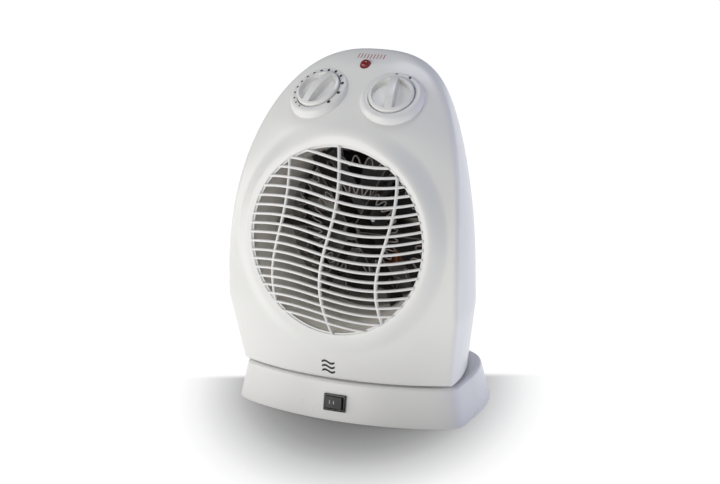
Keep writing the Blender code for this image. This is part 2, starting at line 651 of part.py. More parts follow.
cut(drive_arm, box("drive_slot", (0.0046, SLOT_ENDS[1] - SLOT_ENDS[0], 0.01),
                   (0, CRANK_Y, BODY_FLOOR)))
add(drive_arm, rod("arm_eye", 0.0175, (0, 0, BODY_FLOOR - GAP - 0.0010), (0, 0, BODY_FLOOR - GAP)))
cut(drive_arm, rod("arm_bore", PIVOT_RADIUS + GAP, (0, 0, 0.03), (0, 0, 0.05)))

# ---- base: flared shell with posts, bearing boss and openings -----------------------------
BASE_FRONT = 0.0682           # depth of the base's lower outline, forward and back
BASE_BACK = 0.0760
BASE_HALF = 0.1098
FRONT_BOW = 0.0220            # the front bulges this far past its corners
BASE_TAPER = 0.0190           # each side comes in by this much towards the back
FRONT_POWER = 12              # how square the front corners are
BACK_POWER = 5.5


def base_outline(share_x=1.0, share_y=1.0, inset=0.0):
    """Plan of the base: bowed front, soft front corners, sides narrowing to a rounded back."""
    points = []
    for step in range(56):
        angle = math.tau * step / 56
        side = math.sin(angle)
        front = math.cos(angle)
        power = FRONT_POWER if front > 0 else BACK_POWER
        reach = (abs(side) ** power + abs(front) ** power) ** (-1 / power)
        across = side * reach
        if front > 0:
            x = (BASE_HALF - inset) * across
            y = -(BASE_FRONT - FRONT_BOW) * front * reach - FRONT_BOW * (1 - across ** 2) + inset * front
        else:
            x = (BASE_HALF + BASE_TAPER * front * reach - inset) * across
            y = -(BASE_BACK - inset) * front * reach
        points.append((x * share_x, y * share_y))
    return points


def base_ring(z, inset=0.0):
    rise = max(0.0, z - BASE_RIM) / (BASE_HEIGHT - BASE_RIM)
    share = Vector((1, 1)) + (BASE_FLARE - Vector((1, 1))) * rise
    return [Vector((x, y, z)) for x, y in base_outline(share.x, share.y, inset)]


base_shell = solid_loft("base_shell", [base_ring(BASE_RIM), base_ring(BASE_HEIGHT - 0.0030),
                                       base_ring(BASE_HEIGHT - 0.0008, 0.0009),
                                       base_ring(BASE_HEIGHT, 0.0030)], WHITE)
cut(base_shell, solid_loft("base_hollow", [base_ring(0.0, WALL), base_ring(BASE_RIM, WALL),
                                           base_ring(BASE_HEIGHT - 0.0040, WALL),
                                           base_ring(BASE_HEIGHT - WALL, WALL + 0.0016)]))
UNDER_TOP = BASE_HEIGHT - 0.0010
PLATE_LOW = 0.0022
PLATE_TOP = 0.0042
posts = [(-0.082, -0.030), (0.082, -0.030), (-0.070, 0.044), (0.070, 0.044)]
for number, (x, y) in enumerate(posts, 1):
    add(base_shell, rod("post_%d" % number, 0.0042, (x, y, PLATE_TOP + GAP), (x, y, UNDER_TOP), sides=16))
    cut(base_shell, rod("post_hole_%d" % number, 0.0017, (x, y, 0), (x, y, 0.0180), sides=12))
add(base_shell, rod("bearing_boss", 0.0160, (0, 0, BODY_FLOOR - 0.0160), (0, 0, UNDER_TOP)))
cut(base_shell, rod("bearing_bore", PIVOT_RADIUS + RUN, (0, 0, 0.015), (0, 0, 0.040)))
cut(base_shell, rod("crank_opening", CRANK_THROW + 0.0025, (0, CRANK_Y, 0.025), (0, CRANK_Y, 0.040)))

base_plate = prism("base_plate", base_outline(inset=WALL + 0.0014), PLATE_LOW, PLATE_TOP, SHELL_WHITE)
for number, (x, y) in enumerate(posts, 1):
    cut(base_plate, rod("plate_hole_%d" % number, 0.0017, (x, y, 0), (x, y, 0.01), sides=12))
    turned("base_screw_%d" % number, [(0, 0.0100), (0.0014, 0.0090), (0.0014, 0), (0.0030, 0),
                                      (0.0026, -0.0010), (0, -0.0010)],
           (x, y, PLATE_LOW - GAP), (0, 0, 1), STEEL, steps=12)
feet = [(-0.064, -0.042), (0.064, -0.042), (-0.078, 0.026), (0.078, 0.026)]
for number, (x, y) in enumerate(feet, 1):
    turned("foot_%d" % number, [(0, PLATE_LOW - GAP), (0.0070, PLATE_LOW - GAP), (0.0070, 0.0004),
                                (0.0066, 0), (0, 0)], (x, y, 0), (0, 0, 1), RUBBER, steps=24)

# ---- swing drive: synchronous motor in the base, crank disc with its pin -------------------
swing_motor = rod("swing_motor", 0.0210, (0, CRANK_Y, 0.0060), (0, CRANK_Y, 0.0220), ZINC, sides=40)
add(swing_motor, box("motor_ears", (0.0540, 0.0100, 0.0014), (0, CRANK_Y, 0.0213)))
swing_crank = turned("swing_crank", [(0, 0.0036), (0.0040, 0.0036), (0.0040, 0.0028), (0.0215, 0.0028),
                                     (0.0215, 0.0), (0, 0.0)], (0, CRANK_Y, 0.0300), (0, 0, 1), NYLON)
add(swing_crank, rod("crank_pin", 0.0019, (0, CRANK_Y + CRANK_THROW, 0.0310),
                     (0, CRANK_Y + CRANK_THROW, BODY_FLOOR - GAP - 0.0014), sides=16))
add(swing_crank, rod("crank_shaft", 0.0030, (0, CRANK_Y, 0.0223), (0, CRANK_Y, 0.0310), sides=16))

# ---- rocker switch in the front of the base -----------------------------------------------
SWITCH_Z = 0.0177
SWITCH_TILT = math.atan((1 - BASE_FLARE.y) * BASE_FRONT / (BASE_HEIGHT - BASE_RIM))
switch_seat = Vector((0, -BASE_FRONT + (SWITCH_Z - BASE_RIM) * math.tan(SWITCH_TILT), SWITCH_Z))
switch_frame = Matrix.Translation(switch_seat) @ Matrix.Rotation(math.pi / 2 - SWITCH_TILT, 4, 'X')


def in_switch(obj):
    """Lay an object built flat, with its face up, against the base's front wall."""
    obj.matrix_world = switch_frame @ obj.matrix_world
    return obj


switch_housing = in_switch(box("switch_housing", (0.0210, 0.0150, 0.0016), (0, 0, 0.0011), BLACK))
add(switch_housing, in_switch(box("switch_can", (0.0186, 0.0126, 0.0150), (0, 0, -0.0065))))
cut(switch_housing, in_switch(box("rocker_well", (0.0176, 0.0116, 0.0150), (0, 0, -0.0045))))
cut(base_shell, in_switch(box("switch_cutout", (0.0192, 0.0132, 0.0200), (0, 0, 0))))
ROCKER_REST = math.radians(8)
ROCKER_ARM = 0.0083
rocker_outline = [(ROCKER_ARM * math.cos(a), ROCKER_ARM * math.sin(a))
                  for a in [math.pi + math.pi * i / 12 for i in range(13)]]
rocker_outline += [(ROCKER_ARM, 0.0026), (0, 0.0014), (-ROCKER_ARM, 0.0026)]
rocker = prism("rocker", rocker_outline, -0.0055, 0.0055, BLACK)
ROCKER_PIVOT = 0.0006
rocker.matrix_world = (switch_frame @ Matrix.Translation((0, 0, ROCKER_PIVOT))
                       @ Matrix.Rotation(math.pi / 2, 4, 'X') @ Matrix.Rotation(ROCKER_REST, 4, 'Z'))

# ---- cord gland in the back of the base ---------------------------------------------------
GLAND_Z = 0.0177
gland_y = BASE_BACK * (1 - (1 - BASE_FLARE.y) * (GLAND_Z - BASE_RIM) / (BASE_HEIGHT - BASE_RIM))
cut(base_shell, rod("gland_hole", 0.0051, (0, gland_y - 0.01, GLAND_Z), (0, gland_y + 0.01, GLAND_Z), sides=24))
GLAND_NOSE = 0.0062
turned("cord_gland", [(0.0044, GLAND_NOSE), (0.0066, 0.0034), (0.0066, 0.0024), (0.0048, 0.0024),
                      (0.0048, -0.0060), (0.0034, -0.0060), (0.0034, GLAND_NOSE)],
       (0, gland_y, GLAND_Z), (0, 1, 0), BLACK, steps=24)
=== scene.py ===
"""Oscillating fan convector heater: egg-shaped leaning casing on a flared swivel base."""
import json
import math

import bmesh
import bpy
from mathutils import Matrix, Vector


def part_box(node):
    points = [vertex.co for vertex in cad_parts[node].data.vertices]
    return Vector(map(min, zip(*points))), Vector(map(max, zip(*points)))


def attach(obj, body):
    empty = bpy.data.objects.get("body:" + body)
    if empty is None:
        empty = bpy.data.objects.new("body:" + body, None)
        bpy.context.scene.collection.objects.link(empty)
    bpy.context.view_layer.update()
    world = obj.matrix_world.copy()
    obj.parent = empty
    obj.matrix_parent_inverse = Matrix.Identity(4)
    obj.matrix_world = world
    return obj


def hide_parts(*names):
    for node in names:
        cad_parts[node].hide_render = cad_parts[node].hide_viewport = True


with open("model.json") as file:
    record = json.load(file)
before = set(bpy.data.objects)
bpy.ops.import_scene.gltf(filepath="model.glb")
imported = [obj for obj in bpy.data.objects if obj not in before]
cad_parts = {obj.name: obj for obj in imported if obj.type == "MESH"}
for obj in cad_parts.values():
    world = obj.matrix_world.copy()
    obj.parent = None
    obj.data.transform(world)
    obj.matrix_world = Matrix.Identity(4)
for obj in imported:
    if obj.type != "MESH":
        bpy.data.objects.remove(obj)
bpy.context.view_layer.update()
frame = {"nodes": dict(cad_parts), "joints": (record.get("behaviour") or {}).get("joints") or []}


# ---- camera ---------------------------------------------------------------------------------
# A long lens looks slightly down on the heater from its front right, held a touch off level.
# It aims at the middle of the grille, which sits left of the frame's middle.
duct_low, duct_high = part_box("air_duct")
CHASSIS_DEPTH = 0.0850                     # the chassis plate stands this far behind the grille's rim
RIM = Vector((0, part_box("chassis")[0].y - CHASSIS_DEPTH, (duct_low.z + duct_high.z) / 2))

AZIMUTH = math.radians(26.82)
ELEVATION = math.radians(16.14)
ROLL = math.radians(-1.45)
DISTANCE = 1.713
LENS = 99.9
SHIFT = (0.0339, -0.0017)

forward = Vector((-math.sin(AZIMUTH) * math.cos(ELEVATION), math.cos(AZIMUTH) * math.cos(ELEVATION),
                  -math.sin(ELEVATION)))
level = Vector((math.cos(AZIMUTH), math.sin(AZIMUTH), 0))
upward = level.cross(forward)
camera_data = bpy.data.cameras.new("camera")
camera_data.lens = LENS
camera_data.shift_x, camera_data.shift_y = SHIFT
camera = bpy.data.objects.new("camera", camera_data)
right_axis = level * math.cos(ROLL) + upward * math.sin(ROLL)
up_axis = upward * math.cos(ROLL) - level * math.sin(ROLL)
turn = Matrix((right_axis, up_axis, -forward)).transposed().to_4x4()
camera.matrix_world = Matrix.Translation(RIM - forward * DISTANCE) @ turn
bpy.context.scene.collection.objects.link(camera)
bpy.context.scene.camera = camera


# ---- floor and light ------------------------------------------------------------------------
# A pale studio floor under a white surround, glowing white further off, with a soft grey shadow painted
# into its glow round the base. Broad soft lights stand in front, on the left and overhead, and a cooler one
# stands beyond the right side wall.
def nodes_of(material):
    tree = material.node_tree
    return tree, tree.nodes["Principled BSDF"]


def node(tree, kind, **inputs):
    """Adds a shader node; its named inputs are set to values or linked from sockets."""
    made = tree.nodes.new(kind)
    for name, value in inputs.items():
        socket = made.inputs[name.replace("_", " ")]
        if isinstance(value, bpy.types.NodeSocket):
            tree.links.new(value, socket)
        else:
            socket.default_value = value
    return made


def maths(tree, operation, *values, kind="ShaderNodeMath"):
    """A maths node; each value is a number or a socket to link."""
    made = tree.nodes.new(kind)
    made.operation = operation
    for socket, value in zip(made.inputs, values):
        if isinstance(value, bpy.types.NodeSocket):
            tree.links.new(value, socket)
        else:
            socket.default_value = value
    return made.outputs["Vector" if operation == 'MULTIPLY' and "Vector" in kind else "Value"]


def blend(tree, factor, first, second, how='MIX'):
    """Mixes two colours; the second may be a plain colour."""
    made = tree.nodes.new("ShaderNodeMix")
    made.data_type = 'RGBA'
    made.blend_type = how
    tree.links.new(factor, made.inputs["Factor"])
    tree.links.new(first, made.inputs["A"])
    if isinstance(second, bpy.types.NodeSocket):
        tree.links.new(second, made.inputs["B"])
    else:
        made.inputs["B"].default_value = (*second, 1)
    return made.outputs["Result"]


def ramp(tree, factor, stops):
    made = tree.nodes.new("ShaderNodeValToRGB")
    tree.links.new(factor, made.inputs["Fac"])
    elements = made.color_ramp.elements
    while len(elements) < len(stops):
        elements.new(0.5)
    for element, (place, colour) in zip(elements, stops):
        element.position = place
        element.color = (*colour, 1)
    return made.outputs["Color"]


SHADOW_POOL_CENTRE = (-0.0243, 0.0390, 0)         # the middle of a soft painted grey shadow on the floor, round the base
SHADOW_POOL_SIZE = (0.116, 0.210, 1)
SHADOW_POOL_EDGE = (0.02, 0.10)                   # the painted shadow stops behind the base, in shares of its length
FLOOR_SHADOW_TONES = [(0.0, 0.10), (0.28, 0.15), (0.34, 0.20), (0.40, 0.27), (0.46, 0.39), (0.50, 0.50),
               (0.57, 0.66), (0.65, 0.84), (0.73, 0.94), (0.82, 1.0)]
FLOOR_SIZE = 15.0
floor_mesh = bpy.data.meshes.new("floor")
bm = bmesh.new()
bmesh.ops.create_grid(bm, x_segments=2, y_segments=2, size=FLOOR_SIZE)
bm.to_mesh(floor_mesh)
bm.free()
floor = bpy.data.objects.new("floor", floor_mesh)
bpy.context.scene.collection.objects.link(floor)
floor_paint = bpy.data.materials.new("floor with painted shadow")
floor_paint.use_nodes = True
tree, shader = nodes_of(floor_paint)
spot = node(tree, "ShaderNodeTexCoord").outputs["Object"]
# The floor's glow carries a painted shadow: a grey ramp, darkest round the base, that fades to white
# further off and stops behind the base.
shadow_mapping = node(tree, "ShaderNodeMapping", Vector=spot, Location=SHADOW_POOL_CENTRE,
            Rotation=(0, 0, AZIMUTH + 2 * ROLL), Scale=SHADOW_POOL_SIZE)
shadow_mapping.vector_type = 'TEXTURE'
reach = maths(tree, 'LENGTH', shadow_mapping.outputs["Vector"], kind="ShaderNodeVectorMath")
painted_shadow = ramp(tree, maths(tree, 'MULTIPLY', reach, 0.5),
            [(at, (tone, tone, tone)) for at, tone in FLOOR_SHADOW_TONES])
ahead = node(tree, "ShaderNodeSeparateXYZ", Vector=shadow_mapping.outputs["Vector"]).outputs["Y"]
beyond = node(tree, "ShaderNodeMapRange", Value=ahead)
beyond.interpolation_type = 'SMOOTHSTEP'
beyond.inputs["From Min"].default_value, beyond.inputs["From Max"].default_value = SHADOW_POOL_EDGE
tree.links.new(blend(tree, beyond.outputs["Result"], painted_shadow, (1, 1, 1)), shader.inputs["Emission Color"])
shader.inputs["Emission Strength"].default_value = 1.0
shader.inputs["Base Color"].default_value = (0.10, 0.10, 0.10, 1)
shader.inputs["Roughness"].default_value = 0.8
floor_mesh.materials.append(floor_paint)

world = bpy.data.worlds.new("studio")
world.use_nodes = True
world.node_tree.nodes["Background"].inputs["Color"].default_value = (1, 1, 1, 1)
world.node_tree.nodes["Background"].inputs["Strength"].default_value = 0.20
bpy.context.scene.world = world
bpy.context.scene.view_settings.view_transform = 'Standard'


def softbox(name, place, target, size, power, colour):
    data = bpy.data.lights.new(name, 'AREA')
    data.shape = 'RECTANGLE'
    data.size, data.size_y = size
    data.energy = power
    data.color = colour
    lamp = bpy.data.objects.new(name, data)
    lamp.location = place
    lamp.rotation_euler = (Vector(target) - Vector(place)).to_track_quat('-Z', 'Y').to_euler()
    bpy.context.scene.collection.objects.link(lamp)


softbox("front_light", (-0.7, -1.7, 0.45), RIM, (0.8, 0.8), 9.5, (1.0, 0.99, 0.98))
softbox("left_light", (-1.6, -1.0, 0.45), RIM, (0.8, 0.8), 7, (1.0, 0.98, 0.94))
softbox("top_light", (0.0, 0.3, 2.0), RIM, (0.8, 0.8), 9.5, (0.86, 0.89, 1.0))
softbox("side_light", (1.65, 0.6, 0.5), RIM, (1.2, 1.2), 7.5, (0.44, 0.52, 1.0))


# ---- shared moulded-plastic surface -----------------------------------------------------------
# All the white and black mouldings share one injection-moulded skin: a faint orange-peel ripple,
# slow patches where the gloss changes, and a slight drift of shade.
def group(name, inputs, outputs):
    """An empty shader group with named sockets: (name, kind, default) and (name, kind)."""
    made = bpy.data.node_groups.new(name, 'ShaderNodeTree')
    for label, kind, default in inputs:
        socket = made.interface.new_socket(label, in_out='INPUT', socket_type=kind)
        socket.default_value = default
    for label, kind in outputs:
        made.interface.new_socket(label, in_out='OUTPUT', socket_type=kind)
    return made, made.nodes.new("NodeGroupInput"), made.nodes.new("NodeGroupOutput")


moulded_skin, enters, leaves = group(
    "moulded skin",
    [("Colour", 'NodeSocketColor', (1, 1, 1, 1)), ("Drift", 'NodeSocketFloat', 0.03),
     ("Gloss roughness", 'NodeSocketFloat', 0.3), ("Gloss spread", 'NodeSocketFloat', 0.06),
     ("Ripple size", 'NodeSocketFloat', 900.0), ("Ripple depth", 'NodeSocketFloat', 0.05)],
    [("Colour", 'NodeSocketColor'), ("Roughness", 'NodeSocketFloat'), ("Normal", 'NodeSocketVector')])
place = node(moulded_skin, "ShaderNodeTexCoord").outputs["Object"]
patches = node(moulded_skin, "ShaderNodeTexNoise", Vector=place, Scale=22.0, Detail=3.0)
dim = node(moulded_skin, "ShaderNodeMapRange", Value=patches.outputs["Fac"])
dim.inputs["From Min"].default_value = 0.3
dim.inputs["From Max"].default_value = 0.7
shade = maths(moulded_skin, 'MULTIPLY', dim.outputs["Result"], enters.outputs["Drift"])
tone = blend(moulded_skin, shade, enters.outputs["Colour"], (0.62, 0.62, 0.60), 'MULTIPLY')
moulded_skin.links.new(tone, leaves.inputs["Colour"])
gloss = maths(moulded_skin, 'MULTIPLY_ADD', patches.outputs["Fac"], enters.outputs["Gloss spread"],
              enters.outputs["Gloss roughness"])
moulded_skin.links.new(gloss, leaves.inputs["Roughness"])
peel = node(moulded_skin, "ShaderNodeTexNoise", Vector=place, Scale=enters.outputs["Ripple size"],
            Detail=1.0)
bump = node(moulded_skin, "ShaderNodeBump", Height=peel.outputs["Fac"], Distance=0.0002,
            Strength=enters.outputs["Ripple depth"])
moulded_skin.links.new(bump.outputs["Normal"], leaves.inputs["Normal"])


def finish(name, shared, **settings):
    """A material whose colour, roughness and normal come from a shared group."""
    made = bpy.data.materials.new(name)
    made.use_nodes = True
    tree, shader = nodes_of(made)
    skin = tree.nodes.new("ShaderNodeGroup")
    skin.node_tree = shared
    for label, value in settings.items():
        skin.inputs[label.replace("_", " ")].default_value = value
    for label, socket in (("Colour", "Base Color"), ("Roughness", "Roughness"), ("Normal", "Normal")):
        tree.links.new(skin.outputs[label], shader.inputs[socket])
    return made, shader


def plastic(name, colour, roughness=0.30, drift=0.05, ripple=0.05, ripple_size=900.0, coat=0.0):
    """A moulded plastic finish that uses the shared skin."""
    made, shader = finish(name, moulded_skin, Colour=(*colour, 1), Drift=drift, Gloss_roughness=roughness,
                          Ripple_depth=ripple, Ripple_size=ripple_size)
    shader.inputs["Coat Weight"].default_value = coat
    shader.inputs["Coat Roughness"].default_value = 0.12
    return made


white_plastic = plastic("white gloss plastic", (0.80, 0.80, 0.785), roughness=0.27)


# ---- front casing -----------------------------------------------------------------------------
# One big glossy white moulding: a flat collar round the grille that melts into a bowed face, a
# panel sloping back over it for the controls, and a side wall that runs back to the seam.
GAP = 0.0003
WALL = 0.0024
RIM_LEAN = 0.13
rim_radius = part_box("front_grille")[1].x + GAP
shell_low, shell_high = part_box("front_shell")
half = shell_high.x
top = shell_high.z - RIM.z
bottom = shell_low.z - RIM.z
seam_depth = shell_high.y - RIM.y
WIDEST = -0.045
KINK = -0.062
LOW_TAPER = 0.158
EDGE_ROUND = 0.0032
COLLAR_WIDTH = 0.0040
COLLAR_BLEND = 0.0150
EDGE_LEAD = 0.0042           # depth of the face's edge at the kink, behind the rim
CROWN_FOOT = 0.1425          # over this height the face rolls back to meet the side wall


def in_casing(x, depth, z):
    """A point given sideways, behind the grille's rim and above the fan axis."""
    return Vector((RIM.x + x, RIM.y + depth, RIM.z + z))


def soft_step(t):
    t = min(1.0, max(0.0, t))
    return t * t * (3 - 2 * t)


def soft_ramp(t, softness):
    return t if t > 20 * softness else softness * math.log1p(math.exp(t / softness))


def half_width(z):
    if z < KINK:
        taper = LOW_TAPER * soft_ramp(KINK - z, 0.0012)
        return half - taper
    if z < WIDEST:
        return half
    t = min(1.0, (z - WIDEST) / (top - WIDEST))
    return half * (1 - t ** 2.55) ** (1 / 2.6)


def edge_depth(z):
    if z < KINK:
        return EDGE_LEAD + 0.13 * (KINK - z)
    return EDGE_LEAD + 0.0810 * ((z - KINK) / (top - KINK)) ** 2.1


def centre_depth(z):
    return (RIM_LEAN * z + 0.0015 + 0.963 * soft_ramp(z - 0.0945, 0.003)
            + 1.30 * soft_ramp(z - CROWN_FOOT, 0.001) + 0.22 * soft_ramp(-z - 0.0950, 0.004))


def face_depth(x, z):
    bow = min(1.0, abs(x) / max(half_width(z), 0.001)) ** 2.2
    face = centre_depth(z) * (1 - bow) + edge_depth(z) * bow
    melt = soft_step((math.hypot(x, z) - rim_radius - COLLAR_WIDTH) / COLLAR_BLEND)
    return RIM_LEAN * z * (1 - melt) + face * melt


def edge_reach(angle):
    """Distance from the fan axis to the face's outline, clockwise from the top."""
    low = rim_radius
    high = 0.2
    for _ in range(40):
        reach = (low + high) / 2
        x = reach * math.sin(angle)
        z = reach * math.cos(angle)
        inside = bottom < z < top and abs(x) < half_width(z)
        low, high = (reach, high) if inside else (low, reach)
    return low


def narrowing(depth):
    return 1 - 0.032 * (max(0.0, depth - 0.020) / 0.030) ** 2


def crown(depth):
    return 1 - 0.20 * (max(0.0, depth - 0.088) / 0.043) ** 2


def round_angles(corners, per_turn):
    """Angles round a turn with points exactly on the given corners of the right half."""
    stops = [0.0, *corners, math.pi]
    right_side = []
    for start, end in zip(stops, stops[1:]):
        steps = max(2, round((end - start) / math.tau * per_turn))
        right_side += [start + (end - start) * i / steps for i in range(steps)]
    return right_side + [math.pi] + [math.tau - a for a in reversed(right_side[1:])]


corner = math.atan2(half_width(bottom), bottom)
kink = math.atan2(half, KINK)
angles = round_angles([kink, corner], 168)
outline = [(edge_reach(a) * math.sin(a), edge_reach(a) * math.cos(a)) for a in angles]


def face_ring(share, inset=0.0, sink=0.0):
    ring = []
    for angle, (edge_x, edge_z) in zip(angles, outline):
        reach = rim_radius + (math.hypot(edge_x, edge_z) - rim_radius) * share - inset
        x = reach * math.sin(angle)
        z = reach * math.cos(angle)
        ring.append(in_casing(x, face_depth(x, z) + sink, z))
    return ring


def side_ring(depth_or_share, from_edge=False, inset=0.0):
    ring = []
    for x, z in outline:
        edge = edge_depth(z) + EDGE_ROUND
        depth = edge + depth_or_share * (seam_depth - edge) if from_edge else depth_or_share
        width = narrowing(depth) / narrowing(edge)
        height = crown(depth) if z > 0 else 1.0
        shrink = 1 - inset / max(0.03, math.hypot(x, z))
        ring.append(in_casing(x * width * shrink, depth, z * height * shrink))
    return ring


def rim_ring(radius, back):
    """A ring round the grille opening, in the rim's leaning plane."""
    tall = 1 / math.hypot(1, RIM_LEAN)
    return [in_casing(radius * math.sin(a), RIM_LEAN * radius * math.cos(a) * tall + back,
                      radius * math.cos(a) * tall) for a in angles]


def crease(piece, angle=35):
    """Shades a piece smooth, but keeps edges sharper than an angle in degrees."""
    piece.data.shade_smooth()
    piece.data.set_sharp_from_angle(angle=math.radians(angle))


def mesh_piece(name, bm, sharp=40, turn_out=True):
    """Makes a piece of a working mesh, with its faces turned to point outwards."""
    if turn_out:
        bmesh.ops.recalc_face_normals(bm, faces=bm.faces)
    mesh = bpy.data.meshes.new(name)
    bm.to_mesh(mesh)
    bm.free()
    made = bpy.data.objects.new(name, mesh)
    crease(made, sharp)
    bpy.context.scene.collection.objects.link(made)
    return made


def skin_rows(bm, rows, ends=(True, True)):
    """Covers closed rings of vertices with faces, and closes the chosen ends."""
    for near, far in zip(rows, rows[1:]):
        for i in range(len(near)):
            j = (i + 1) % len(near)
            bm.faces.new((near[i], near[j], far[j], far[i]))
    if ends[0]:
        bm.faces.new(list(reversed(rows[0])))
    if ends[1]:
        bm.faces.new(rows[-1])


def loft(name, rings, ends=(False, False), sharp=35):
    """A skin over closed rings of points, each ring with the same number of points."""
    bm = bmesh.new()
    skin_rows(bm, [[bm.verts.new(point) for point in ring] for ring in rings], ends)
    return mesh_piece(name, bm, sharp, turn_out=ends == (True, True))


def thicken(piece):
    skin = piece.modifiers.new("wall", 'SOLIDIFY')
    skin.thickness = WALL
    skin.offset = -1
    skin.use_even_offset = True


def apply(piece, sharp=None):
    """Bakes a piece's modifiers into its mesh."""
    graph = bpy.context.evaluated_depsgraph_get()
    mesh = bpy.data.meshes.new_from_object(piece.evaluated_get(graph))
    piece.modifiers.clear()
    piece.data = mesh
    if sharp is not None:
        crease(piece, sharp)


def combine(piece, tool, how='DIFFERENCE'):
    """Cuts a tool out of a piece, or joins it on, and removes the tool."""
    step = piece.modifiers.new(how, 'BOOLEAN')
    step.operation = how
    step.object = tool
    bpy.context.view_layer.update()
    apply(piece)
    bpy.data.objects.remove(tool)


def turned(name, profile, origin, axis, steps=64, closed=False):
    """A turned piece: (radius, height) points from the top down its outer side."""
    rings = []
    for step in range(steps):
        angle = math.tau * step / steps
        rings.append((math.cos(angle), math.sin(angle)))
    bm = bmesh.new()
    rows = []
    for radius, height in profile:
        if radius == 0:
            rows.append([bm.verts.new((0, 0, height))])
        else:
            rows.append([bm.verts.new((radius * c, radius * s, height)) for c, s in rings])
    pairs = list(zip(rows, rows[1:])) + ([(rows[-1], rows[0])] if closed else [])
    for upper, lower in pairs:
        for i in range(steps):
            j = (i + 1) % steps
            loop = [upper[i % len(upper)], lower[i % len(lower)],
                    lower[j % len(lower)], upper[j % len(upper)]]
            bm.faces.new(list(dict.fromkeys(loop)))
    made = mesh_piece(name, bm, 35)
    made.matrix_world = (Matrix.Translation(origin)
                         @ Vector(axis).to_track_quat('Z', 'Y').to_matrix().to_4x4())
    return made


def rod(name, radius, high, low, origin, axis, steps=32):
    """A plain round bar along an axis, mostly for cutting holes."""
    return turned(name, [(0, high), (radius, high), (radius, low), (0, low)], origin, axis, steps)


def arc(centre_r, centre_h, radius, start, end, steps=5):
    """Profile points on an arc, in degrees from the +radius direction."""
    points = []
    for step in range(steps + 1):
        angle = math.radians(start + (end - start) * step / steps)
        points.append((centre_r + radius * math.cos(angle), centre_h + radius * math.sin(angle)))
    return points


def finish_piece(piece, material, body, slot, *nodes):
    """Gives a piece its material, the body it moves with and the CAD nodes it stands for."""
    piece.data.materials.clear()
    piece.data.materials.append(material)
    if nodes:
        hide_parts(*nodes)
    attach(piece, body)


joint = {entry["name"]: entry for entry in frame["joints"]}
dial_axes = {}
for side, label in ((-1, "thermostat_turn"), (1, "selector_turn")):
    dial_axes[side] = (Vector(joint[label]["pos_m"]), -Vector(joint[label]["axis"]))
PAD_HOLE = 0.0252            # the panel laps over the sunk upper edge of each pad
LAMP_HOLE = 0.0050
LAMP_Z = 0.1415
lamp_normal = Vector((0, -0.74, 0.67)).normalized()
lamp_seat = in_casing(0, face_depth(0, LAMP_Z), LAMP_Z)

LIP = 0.0012
FIRST_SHARE = 0.06
casing_rings = [rim_ring(rim_radius, 0.0040), rim_ring(rim_radius, LIP)]
casing_rings += [rim_ring(rim_radius + LIP * (1 - math.cos(t)), LIP * (1 - math.sin(t)))
                 for t in (math.radians(a) for a in (25, 50, 75, 90))]
for i in range(22):
    share = FIRST_SHARE + (1 - FIRST_SHARE) * i / 22
    casing_rings.append(face_ring(share, inset=EDGE_ROUND * share))
casing_rings += [face_ring(1.0, inset=EDGE_ROUND * (1 - math.sin(t)), sink=EDGE_ROUND * (1 - math.cos(t)))
                 for t in (math.radians(a) for a in (0, 22, 45, 68))]
casing_rings += [side_ring(i / 14, from_edge=True) for i in range(15)]
front_casing = loft("front_casing", casing_rings)
thicken(front_casing)
apply(front_casing)
for side, (seat, normal) in dial_axes.items():
    combine(front_casing, rod("pad_hole", PAD_HOLE, 0.03, -0.015, seat, normal, 96))
combine(front_casing, rod("lamp_hole", LAMP_HOLE, 0.02, -0.02, lamp_seat, lamp_normal, 40))
crease(front_casing)
finish_piece(front_casing, white_plastic, "heater", "white_gloss", "front_shell")


# ---- grille -----------------------------------------------------------------------------------
# One heat-proof moulding: a flanged ring pressed into the casing, three wavy ribs, and slim
# horizontal bars with rounded fronts that rise on the left and dip on the right of a low dome.
BAR_COUNT = 19
BAR_PITCH = 0.00787
BAR_WAVE = 0.00484
BAR_HALF = 0.00118           # half the height of a bar
BAR_DEPTH = 0.0032
RIB_SPACING = 0.0503
RIB_WAVE = 0.0068
RIB_HALF = 0.00115
RIB_DEPTH = 0.0036
DOME = 0.02035
BAR_REACH = rim_radius + 0.0030
BAR_STEP = 0.0035            # a bar's path has a point about this often


def dome(x, z):
    reach = min(1.0, math.hypot(x, z) / rim_radius)
    return RIM_LEAN * z - DOME * (1 - reach ** 1.8)


def bar_height(x, level):
    return level - BAR_WAVE * math.sin(math.pi * x / rim_radius)


def rib_place(z, middle):
    return middle + RIB_WAVE * math.sin(math.pi * z / rim_radius)


def ring_crossing(curve, way):
    near = 0.0
    far = 1.1 * rim_radius
    for _ in range(30):
        middle = (near + far) / 2
        x, z = curve(way * middle)
        inside = math.hypot(x, z * math.hypot(1, RIM_LEAN)) < BAR_REACH
        near, far = (middle, far) if inside else (near, middle)
    return way * near


def bar_section(half_width, depth):
    """A bar's section: a rounded front edge and a flat, slightly narrower back."""
    round_front = [(half_width * math.cos(math.radians(a)), -half_width * math.sin(math.radians(a)))
                   for a in (0, 30, 60, 90, 120, 150, 180)]
    return round_front + [(-half_width * 0.8, depth - half_width), (half_width * 0.8, depth - half_width)]


def sweep(bm, centres, section, across):
    """Adds a closed bar along centres to a mesh; section points are (across, back)."""
    skin_rows(bm, [[bm.verts.new(point + Vector(across) * a + Vector((0, back, 0))) for a, back in section]
                   for point in centres])


def add_bar(bm, curve, section, across):
    """Adds a bar that follows a curve over the dome, from one side of the ring to the other."""
    start = ring_crossing(curve, -1)
    end = ring_crossing(curve, 1)
    pieces = max(12, round((end - start) / BAR_STEP))
    points = [curve(start + (end - start) * i / pieces) for i in range(pieces + 1)]
    sweep(bm, [in_casing(x, dome(x, z), z) for x, z in points], section, across)


bm = bmesh.new()
for row in range(BAR_COUNT):
    level = (row - (BAR_COUNT - 1) / 2) * BAR_PITCH
    add_bar(bm, lambda x: (x, bar_height(x, level)), bar_section(BAR_HALF, BAR_DEPTH), (0, 0, 1))
grille_bars = mesh_piece("grille_bars", bm)

